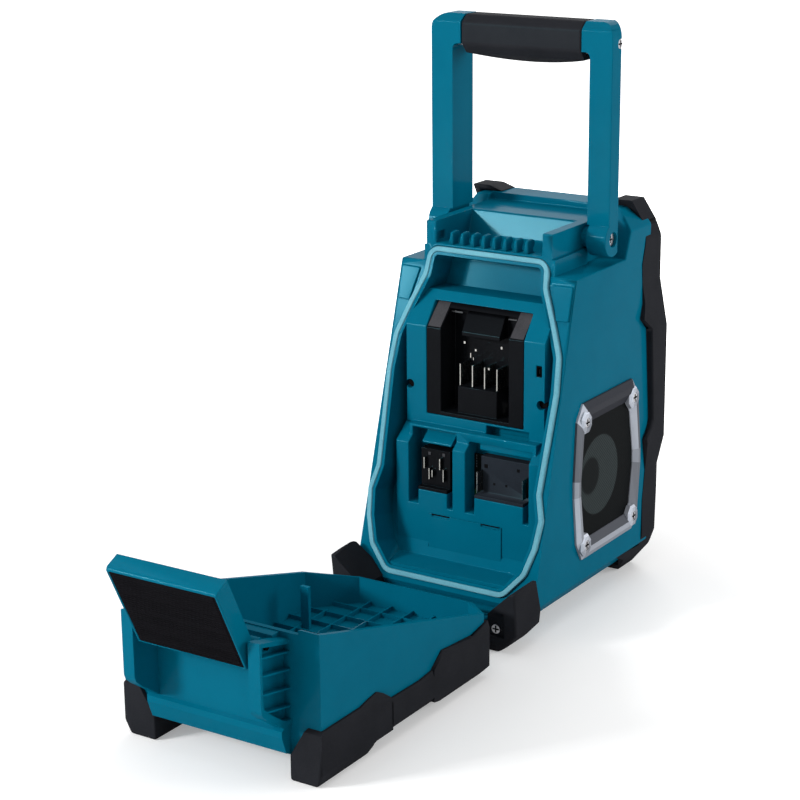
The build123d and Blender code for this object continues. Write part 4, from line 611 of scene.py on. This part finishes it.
def makePiece(pieceName, points, faces, paintName, body, tones=None, replacing=None):
    # points in metres, faces as rows of point numbers; tones holds one painted brightness per face, for
    # painted highlights and painted shade
    mesh = bpy.data.meshes.new(pieceName)
    mesh.from_pydata([tuple(point) for point in np.asarray(points, dtype=float)], [],
                     [tuple(face) for face in faces])
    mesh.validate()
    shape = bmesh.new()
    shape.from_mesh(mesh)
    bmesh.ops.recalc_face_normals(shape, faces=shape.faces)
    shape.to_mesh(mesh)
    shape.free()
    if tones is not None:
        layer = mesh.attributes.new("tone", "FLOAT", "FACE")
        layer.data.foreach_set("value", np.asarray(tones, dtype=float))
    mesh.polygons.foreach_set("use_smooth", [False] * len(mesh.polygons))
    mesh.materials.append(paints[paintName])
    piece = bpy.data.objects.new(pieceName, mesh)
    bpy.context.scene.collection.objects.link(piece)
    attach(piece, body)
    if replacing:
        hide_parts(replacing)


# the speaker panels lie on the leaning side walls: u runs rearward, v up the wall, w out of it; all in mm
speakerPanel = {
    "middle": (77.109, -1.8, 102.9), "lean": math.atan(2.7 / 236),
    "outer": [(40, 62.5), (49, 50), (53, 5), (53, -8), (49, -46), (41, -60)],
    "opening": [(33, 45.5), (38, 36), (43.5, 4), (43.5, -6), (38, -38), (33, -45)],
    # each ring of points: share of the way from the outer outline to the opening, and height
    "rings": [(0.0, 0.0), (0.0, 1.6), (0.30, 4.2), (0.58, 4.2), (0.98, 0.6), (0.98, -0.8), (0.5, -0.8)],
    # painted reflection and painted shade: brightness of outer side, outer slope, flat and inner slope for
    # each stretch of the outline
    "tones": [(0.5, 0.6, 0.4, 0.2), (0.10, 0.20, 0.14, 0.07), (0.30, 0.45, 0.20, 0.10),
              (0.40, 0.62, 0.30, 0.14), (0.3, 0.5, 0.4, 0.3), (0.2, 0.30, 0.38, 0.10),
              (0.3, 0.4, 0.4, 0.3), (0.06, 0.09, 0.16, 0.24), (0.06, 0.10, 0.22, 0.40),
              (0.05, 0.06, 0.12, 0.55), (0.3, 0.3, 0.4, 0.5), (0.05, 0.045, 0.040, 0.030)],
    # the faces under the frame get a dark painted shade
    "underFrom": 5, "underShadeTone": 0.05,  # the faces from this ring on lie under the frame
    # each lug's rings carry painted highlights and painted shade, darkest on its well floor
    "lug": {"u": 38.75, "v": 48.25, "sides": 8, "squeeze": 0.86, "foot": 9.2, "brow": 7.6, "well": 4.0,
            "sunk": -0.4, "slope": 3.4, "height": 5.0, "floor": 2.6,
            "tones": (0.35, 0.75, 0.5, 0.02), "shadow": 0.45, "light": 0.75, "floorTone": 0.02},
    "sheet": {"grow": 2.2, "front": -0.15, "back": -1.0},
}
# a cross recess, drawn as a dark plus sign of painted shade, in mm: half length and half width of its bars,
# how far it stands out, its place on the screws
crossSetup = {"reach": 2.7, "half": 0.62, "lift": 0.06, "lugHeight": 4.92, "bumper": (62.0, 18.0),
              "pivot": (-7.0, 281.0)}


def onPanel(side, u, v, w):
    # place on a side wall, side -1 or 1
    lean = speakerPanel["lean"]
    x = speakerPanel["middle"][0] + np.cos(lean) * np.asarray(w) - np.sin(lean) * np.asarray(v)
    y = speakerPanel["middle"][1] + np.asarray(u) + 0 * x
    z = speakerPanel["middle"][2] + np.sin(lean) * np.asarray(w) + np.cos(lean) * np.asarray(v)
    return np.stack(np.broadcast_arrays(side * x, y, z), axis=-1) * mm


def mirrored(half):
    # the points of one half, then their mirror images back to the start
    half = np.array(half, dtype=float)
    return np.concatenate((half, half[::-1] * (-1, 1)))


def makeSpeakerFrame(side, label):
    # rings of points between the outer outline and the opening, then a faceted lug at each screw; every face
    # gets a painted brightness that stands in for reflection and shade
    outer, opening = mirrored(speakerPanel["outer"]), mirrored(speakerPanel["opening"])
    rings = np.array(speakerPanel["rings"])
    count, turns = len(outer), len(rings)
    flat = outer[None] + rings[:, :1, None] * (opening - outer)[None]
    points = onPanel(side, flat[..., 0], flat[..., 1], rings[:, 1:2]).reshape(-1, 3)
    faces, tones = [], []
    for ring in range(turns):
        here, beyond = ring * count, (ring + 1) % turns * count
        for k in range(count):
            following = (k + 1) % count
            faces.append((here + k, here + following, beyond + following, beyond + k))
            above = speakerPanel["tones"][k][min(ring, 3)]
            tones.append(above if ring < speakerPanel["underFrom"] else speakerPanel["underShadeTone"])
    lug = speakerPanel["lug"]
    sides = lug["sides"]
    sweep = (np.arange(sides) + 0.5) * math.tau / sides
    radii = np.array([lug[key] for key in ("foot", "foot", "brow", "well", "well")])[:, None]
    heights = np.array([lug[key] for key in ("sunk", "slope", "height", "height", "floor")])[:, None]
    for u in (-lug["u"], lug["u"]):
        # glow is a painted highlight that turns around the lug, lighter on the facets facing one way
        glow = 0.5 + 0.5 * np.sin(sweep + math.pi / sides + (0.6 if u > 0 else 1.2))
        for v in (-lug["v"], lug["v"]):
            base = len(points)
            block = onPanel(side, u + radii * np.cos(sweep) * lug["squeeze"], v + radii * np.sin(sweep),
                            heights)
            points = np.concatenate((points, block.reshape(-1, 3)))
            for ring, tone in enumerate(lug["tones"]):
                here, beyond = base + ring * sides, base + (ring + 1) * sides
                for k in range(sides):
                    following = (k + 1) % sides
                    faces.append((here + k, here + following, beyond + following, beyond + k))
                    tones.append(tone * (lug["shadow"] + lug["light"] * glow[k]))
            faces.append(tuple(range(base, base + sides)))
            faces.append(tuple(range(len(points) - sides, len(points))))
            tones += [lug["floorTone"]] * 2
    makePiece("speakerFrame" + label, points, faces, "frameReflectionPaint", "radio", tones,
              "speaker_frame_" + label.lower())


def makeSpeakerSheet(side, label):
    # a flat sheet a little larger than the frame's opening
    sheet, opening = speakerPanel["sheet"], mirrored(speakerPanel["opening"])
    grown = opening * (1 + sheet["grow"] / np.linalg.norm(opening, axis=1, keepdims=True))
    count = len(grown)
    points = np.concatenate([onPanel(side, grown[:, 0], grown[:, 1], np.full(count, sheet[face]))
                             for face in ("front", "back")])
    faces = [tuple(range(count)), tuple(range(2 * count - 1, count - 1, -1))]
    faces += [(k, count + k, count + (k + 1) % count, (k + 1) % count) for k in range(count)]
    makePiece("speakerSheet" + label, points, faces, "sheetPaint", "radio", None,
              "speaker_grille_" + label.lower())


def crossPrism(centre, across, upward, outward):
    # a plus sign of twelve corners, as far above as below its centre
    half, reach, lift = (crossSetup[key] for key in ("half", "reach", "lift"))
    outline = np.array([(half, half), (half, reach), (-half, reach), (-half, half), (-reach, half),
                        (-reach, -half), (-half, -half), (-half, -reach), (half, -reach), (half, -half),
                        (reach, -half), (reach, half)])
    flat = np.array(centre) + outline[:, :1] * np.array(across) + outline[:, 1:] * np.array(upward)
    points = np.concatenate((flat + lift * np.array(outward), flat - lift * np.array(outward)))
    faces = [tuple(range(12)), tuple(range(23, 11, -1))]
    faces += [(k, 12 + k, 12 + (k + 1) % 12, (k + 1) % 12) for k in range(12)]
    return points, faces


def makeCrosses(pieceName, body, marks):
    # one piece out of a cross for each mark, in a near-black that is the painted shade of the recess
    points, faces = np.zeros((0, 3)), []
    for mark in marks:
        corners, sides = crossPrism(*mark)
        faces += [tuple(len(points) + i for i in face) for face in sides]
        points = np.concatenate((points, corners))
    makePiece(pieceName, points * mm, faces, "recessBlack", body)


# the fine mesh, in mm: how far to the rear of the middle the cone and its hub show on the -X side, how low or
# high, their radius and how sharp their rims look, and the spacing of the holes
# the cone behind the mesh is painted on it, lit, with a painted shadow over its hub
sheetLook = {
    "coneShift": 11.0, "coneDrop": 0.5, "coneRadius": 31.3, "coneRim": 0.8,
    "hubShift": 25.0, "hubRise": 2.0, "hubRadius": 16.0, "hubRim": 0.35,
    "hubShadow": 0.9, "coneGain": 1.15, "rimLight": 0.10,
    "pitch": 2.6, "holeGain": 1.6, "holeLight": 0.9, "webLight": 0.30,
    "dark": (0.0042, 0.0046, 0.0052), "light": (0.040, 0.050, 0.052),
}
# painted silver: its speckle and tint; and the board, green below a height in metres
frameLook = {"speckleScale": 2200, "least": 0.92, "gain": 0.16, "red": 0.94, "blue": 1.12, "blueLift": 0.004}
riserLook = {"greenTop": 0.094, "rim": 800, "dark": (0.006, 0.008, 0.007), "green": (0.010, 0.075, 0.022)}


def makeDrawnFinishes():
    # painted silver whose facets each carry a painted brightness: painted reflections, painted highlights and
    # painted shade
    paint, look = Paint("frameReflectionPaint"), frameLook
    tone = paint.node("ShaderNodeAttribute", {"attribute_name": "tone"}, {}, "Fac")
    speckle = paint.noise(look["speckleScale"], 2.0, 0.6)
    bright = tone * (look["least"] + speckle * look["gain"])
    silver = paint.node("ShaderNodeCombineColor", {}, {0: bright * look["red"], 1: bright,
                                                       2: bright * look["blue"] + look["blueLift"]})
    paint.coat(Base_Color=silver, Roughness=0.32 + speckle * 0.1, Normal=paint.bump(speckle, 0.4, 0.00002),
               Specular_IOR_Level=0.0, Coat_Weight=0.10, Coat_Roughness=0.3)
    paints["frameReflectionPaint"] = paint.material
    # fine mesh: rows of small holes, with painted light where the cone shows through and a painted shadow at
    # its hub
    paint, look = Paint("sheetPaint"), sheetLook
    x, y, z = paint.axes()
    shift = (x * -1000).clipped()
    u, v = (y - speakerPanel["middle"][1] * mm) * 1000, (z - speakerPanel["middle"][2] * mm) * 1000
    coneU, coneV = u - shift * look["coneShift"], v + look["coneDrop"]
    cone = ((look["coneRadius"] - (coneU * coneU + coneV * coneV) ** 0.5) * look["coneRim"]).clipped()
    hubU, hubV = u - shift * look["hubShift"], v - look["hubRise"]
    hub = ((look["hubRadius"] - (hubU * hubU + hubV * hubV) ** 0.5) * look["hubRim"]).clipped()
    rows, columns = (place.maths("SINE", place * (math.tau / look["pitch"])) for place in (v, u))
    holes = (rows * columns * look["holeGain"] + 0.5).clipped()
    behind = cone * (1 - hub * look["hubShadow"]) * look["coneGain"] + look["rimLight"]
    shade = behind * (look["webLight"] + holes * look["holeLight"])
    speckle = paint.noise(1500, 2.0, 0.6)
    paint.coat(Base_Color=paint.blend(shade, look["dark"], look["light"]),
               Roughness=0.45 + speckle * 0.12, Normal=paint.bump(holes, 0.5, 0.0002), Specular_IOR_Level=0.0,
               Coat_Weight=0.05, Coat_Roughness=0.4)
    paints["sheetPaint"] = paint.material
    # board: dark above, green solder mask near its foot
    paint, look = Paint("riserLaminate"), riserLook
    height = paint.axes()[2]
    speckle = paint.noise(1500, 2.0, 0.6)
    foot = ((look["greenTop"] - height) * look["rim"]).clipped()
    paint.coat(Base_Color=paint.blend(foot, look["dark"], look["green"]),
               Roughness=0.42 + speckle * 0.1, Specular_IOR_Level=0.0, Coat_Weight=0.08, Coat_Roughness=0.3,
               Normal=paint.bump(speckle, 0.3, 0.00002))
    paints["riserLaminate"] = paint.material
    # a near-black that is painted shade, standing for the dark inside recesses, holes and slots
    paint = Paint("recessBlack")
    speckle = paint.noise(1500, 2.0, 0.6)
    paint.coat(Base_Color=paint.blend(speckle, (0.004, 0.004, 0.004), (0.008, 0.008, 0.009)), Roughness=0.6,
               Specular_IOR_Level=0.0)
    paints["recessBlack"] = paint.material


# small details as boxes, in mm: x, y and z limits
boxSetup = {
    "contactTips": ("contactMetal", "contact_brass", [
        (15.3, 16.7, 51, 52.6, 202.2, 204.0), (-16.9, -15.5, 51, 52.6, 202.2, 204.0),
        (5.6, 7.0, 51, 52.6, 197.6, 199.2), (10.3, 11.0, 51, 52.6, 192.0, 195.6),
        (-9.3, -7.9, 57, 58.4, 186.4, 188.0), (8.0, 8.5, 51, 52.6, 190.4, 192.4)]),
    "blockStrips": ("greyPlastic", "grey_plastic", [
        (20, 31, 48.3, 49.0, 224.4, 225.5), (-30, -20, 48.3, 49.0, 224.6, 225.4)]),
    # holes in the plate, drawn as boxes of painted shade
    "plateHoles": ("recessBlack", "black_plastic", [
        (-14.1, -11.1, 68.4, 68.58, 113.0, 116.0), (-41.6, -39.2, 68.4, 68.58, 114.2, 116.6),
        (-20.6, -18.8, 68.4, 68.58, 100.5, 102.3), (-31.0, -29.2, 68.4, 68.58, 100.8, 102.6)]),
    "plateBosses": ("wornPlastic", "grey_plastic", [
        (32.7, 34.9, 73.8, 74.6, 117.4, 119.6), (20.2, 22.4, 73.8, 74.6, 117.9, 120.1),
        (30.4, 32.0, 73.8, 74.6, 100.1, 101.7)]),
    "riserMarks": ("greyPlastic", "board_laminate", [
        (-3.2, -2.5, 65.9, 66.1, 111.4 + 2.1 * k, 112.6 + 2.1 * k) for k in range(5)]),
    "coverStuds": ("sealRubber", "seal_rubber", [
        (30.3, 31.5, 78.9, 79.9, 38.3, 39.5), (-34.0, -32.8, 78.9, 79.9, 38.2, 39.4)]),
    # slots in the cover's top edge, drawn as strips of painted shade
    "coverSlots": ("recessBlack", "black_plastic", [
        (13.0, 29.1, 79.2, 79.75, 71.5, 72.2), (-30.9, -14.4, 79.2, 79.75, 71.5, 72.2)]),
}
# grained faces on the sloping shoulders of the main terminal block, lighter grey as a painted reflection of
# glancing light, in mm: x limits, foot and top as y and z
wingSetup = {"halves": (30.3, 41.2), "foot": (64.0, 215.53), "top": (48.5, 231.57), "lift": 0.12,
             "depth": 0.3}
boxCorners = [(0, 0, 0), (1, 0, 0), (1, 1, 0), (0, 1, 0), (0, 0, 1), (1, 0, 1), (1, 1, 1), (0, 1, 1)]
boxSides = [(0, 3, 2, 1), (4, 5, 6, 7), (0, 1, 5, 4), (1, 2, 6, 5), (2, 3, 7, 6), (3, 0, 4, 7)]


def makeBoxes(pieceName, paintName, slotName, boxes):
    # every box is the eight ways to pick a low or high limit on each axis
    limits = np.array(boxes, dtype=float).reshape(-1, 3, 2)
    picks = np.array(boxCorners)
    points = np.stack([limits[:, axis, :][:, picks[:, axis]] for axis in range(3)], axis=-1).reshape(-1, 3)
    faces = [tuple(8 * k + i for i in side) for k in range(len(limits)) for side in boxSides]
    makePiece(pieceName, points * mm, faces, paintName, "radio")


def makeWings():
    # a thin slab on each shoulder, from its depth below the slope to its lift above it, in a pale grey that
    # is a painted reflection
    foot, top = np.array(wingSetup["foot"]), np.array(wingSetup["top"])
    along = (top - foot) / np.linalg.norm(top - foot)
    outward = np.array([along[1], -along[0]])
    near, far = wingSetup["halves"]
    points, faces = [], []
    for side in (-1, 1):
        faces += [tuple(len(points) + i for i in face) for face in boxSides]
        for height in (-wingSetup["depth"], wingSetup["lift"]):
            for x, end in ((near, foot), (far, foot), (far, top), (near, top)):
                points.append((side * x, *(end + outward * height)))
    makePiece("blockWings", np.array(points) * mm, faces, "wornPlastic", "radio")


def makeScrewCrosses():
    # painted shade of the recesses of the speaker and bumper screws, then of the handle's screws and pivots
    lean, lug = speakerPanel["lean"], speakerPanel["lug"]
    marks = []
    for side in (-1, 1):
        upward = (-side * math.sin(lean), 0, math.cos(lean))
        outward = (side * math.cos(lean), 0, math.sin(lean))
        for u in (-lug["u"], lug["u"]):
            for v in (-lug["v"], lug["v"]):
                marks.append((onPanel(side, u, v, crossSetup["lugHeight"]) / mm, (0, 1, 0), upward, outward))
    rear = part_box("bumper_screws")[1][1] / mm
    x, z = crossSetup["bumper"]
    marks += [((side * x, rear, z), (1, 0, 0), (0, 0, 1), (0, 1, 0)) for side in (-1, 1)]
    makeCrosses("screwRecesses", "radio", marks)
    low, high = (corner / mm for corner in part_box("handle_screws"))
    middle = (low + high) / 2
    makeCrosses("handleScrewRecesses", "handle", [
        ((side * high[0], middle[1], middle[2]), (0, 1, 0), (0, 0, 1), (side, 0, 0)) for side in (-1, 1)])
    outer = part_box("handle_pivots")[1][0] / mm
    makeCrosses("pivotRecesses", "radio", [
        ((side * outer, *crossSetup["pivot"]), (0, 1, 0), (0, 0, 1), (side, 0, 0)) for side in (-1, 1)])


makeDrawnFinishes()
for pieceName, how in boxSetup.items():
    makeBoxes(pieceName, *how)
makeWings()
for paintName, nodeNames in kept.items():
    for nodeName in nodeNames:
        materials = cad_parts[nodeName].data.materials
        materials.clear()
        materials.append(paints[paintName])
print("kept nodes painted")
for side, label in ((-1, "Left"), (1, "Right")):
    makeSpeakerFrame(side, label)
    makeSpeakerSheet(side, label)
makeScrewCrosses()
print("drawn pieces made")
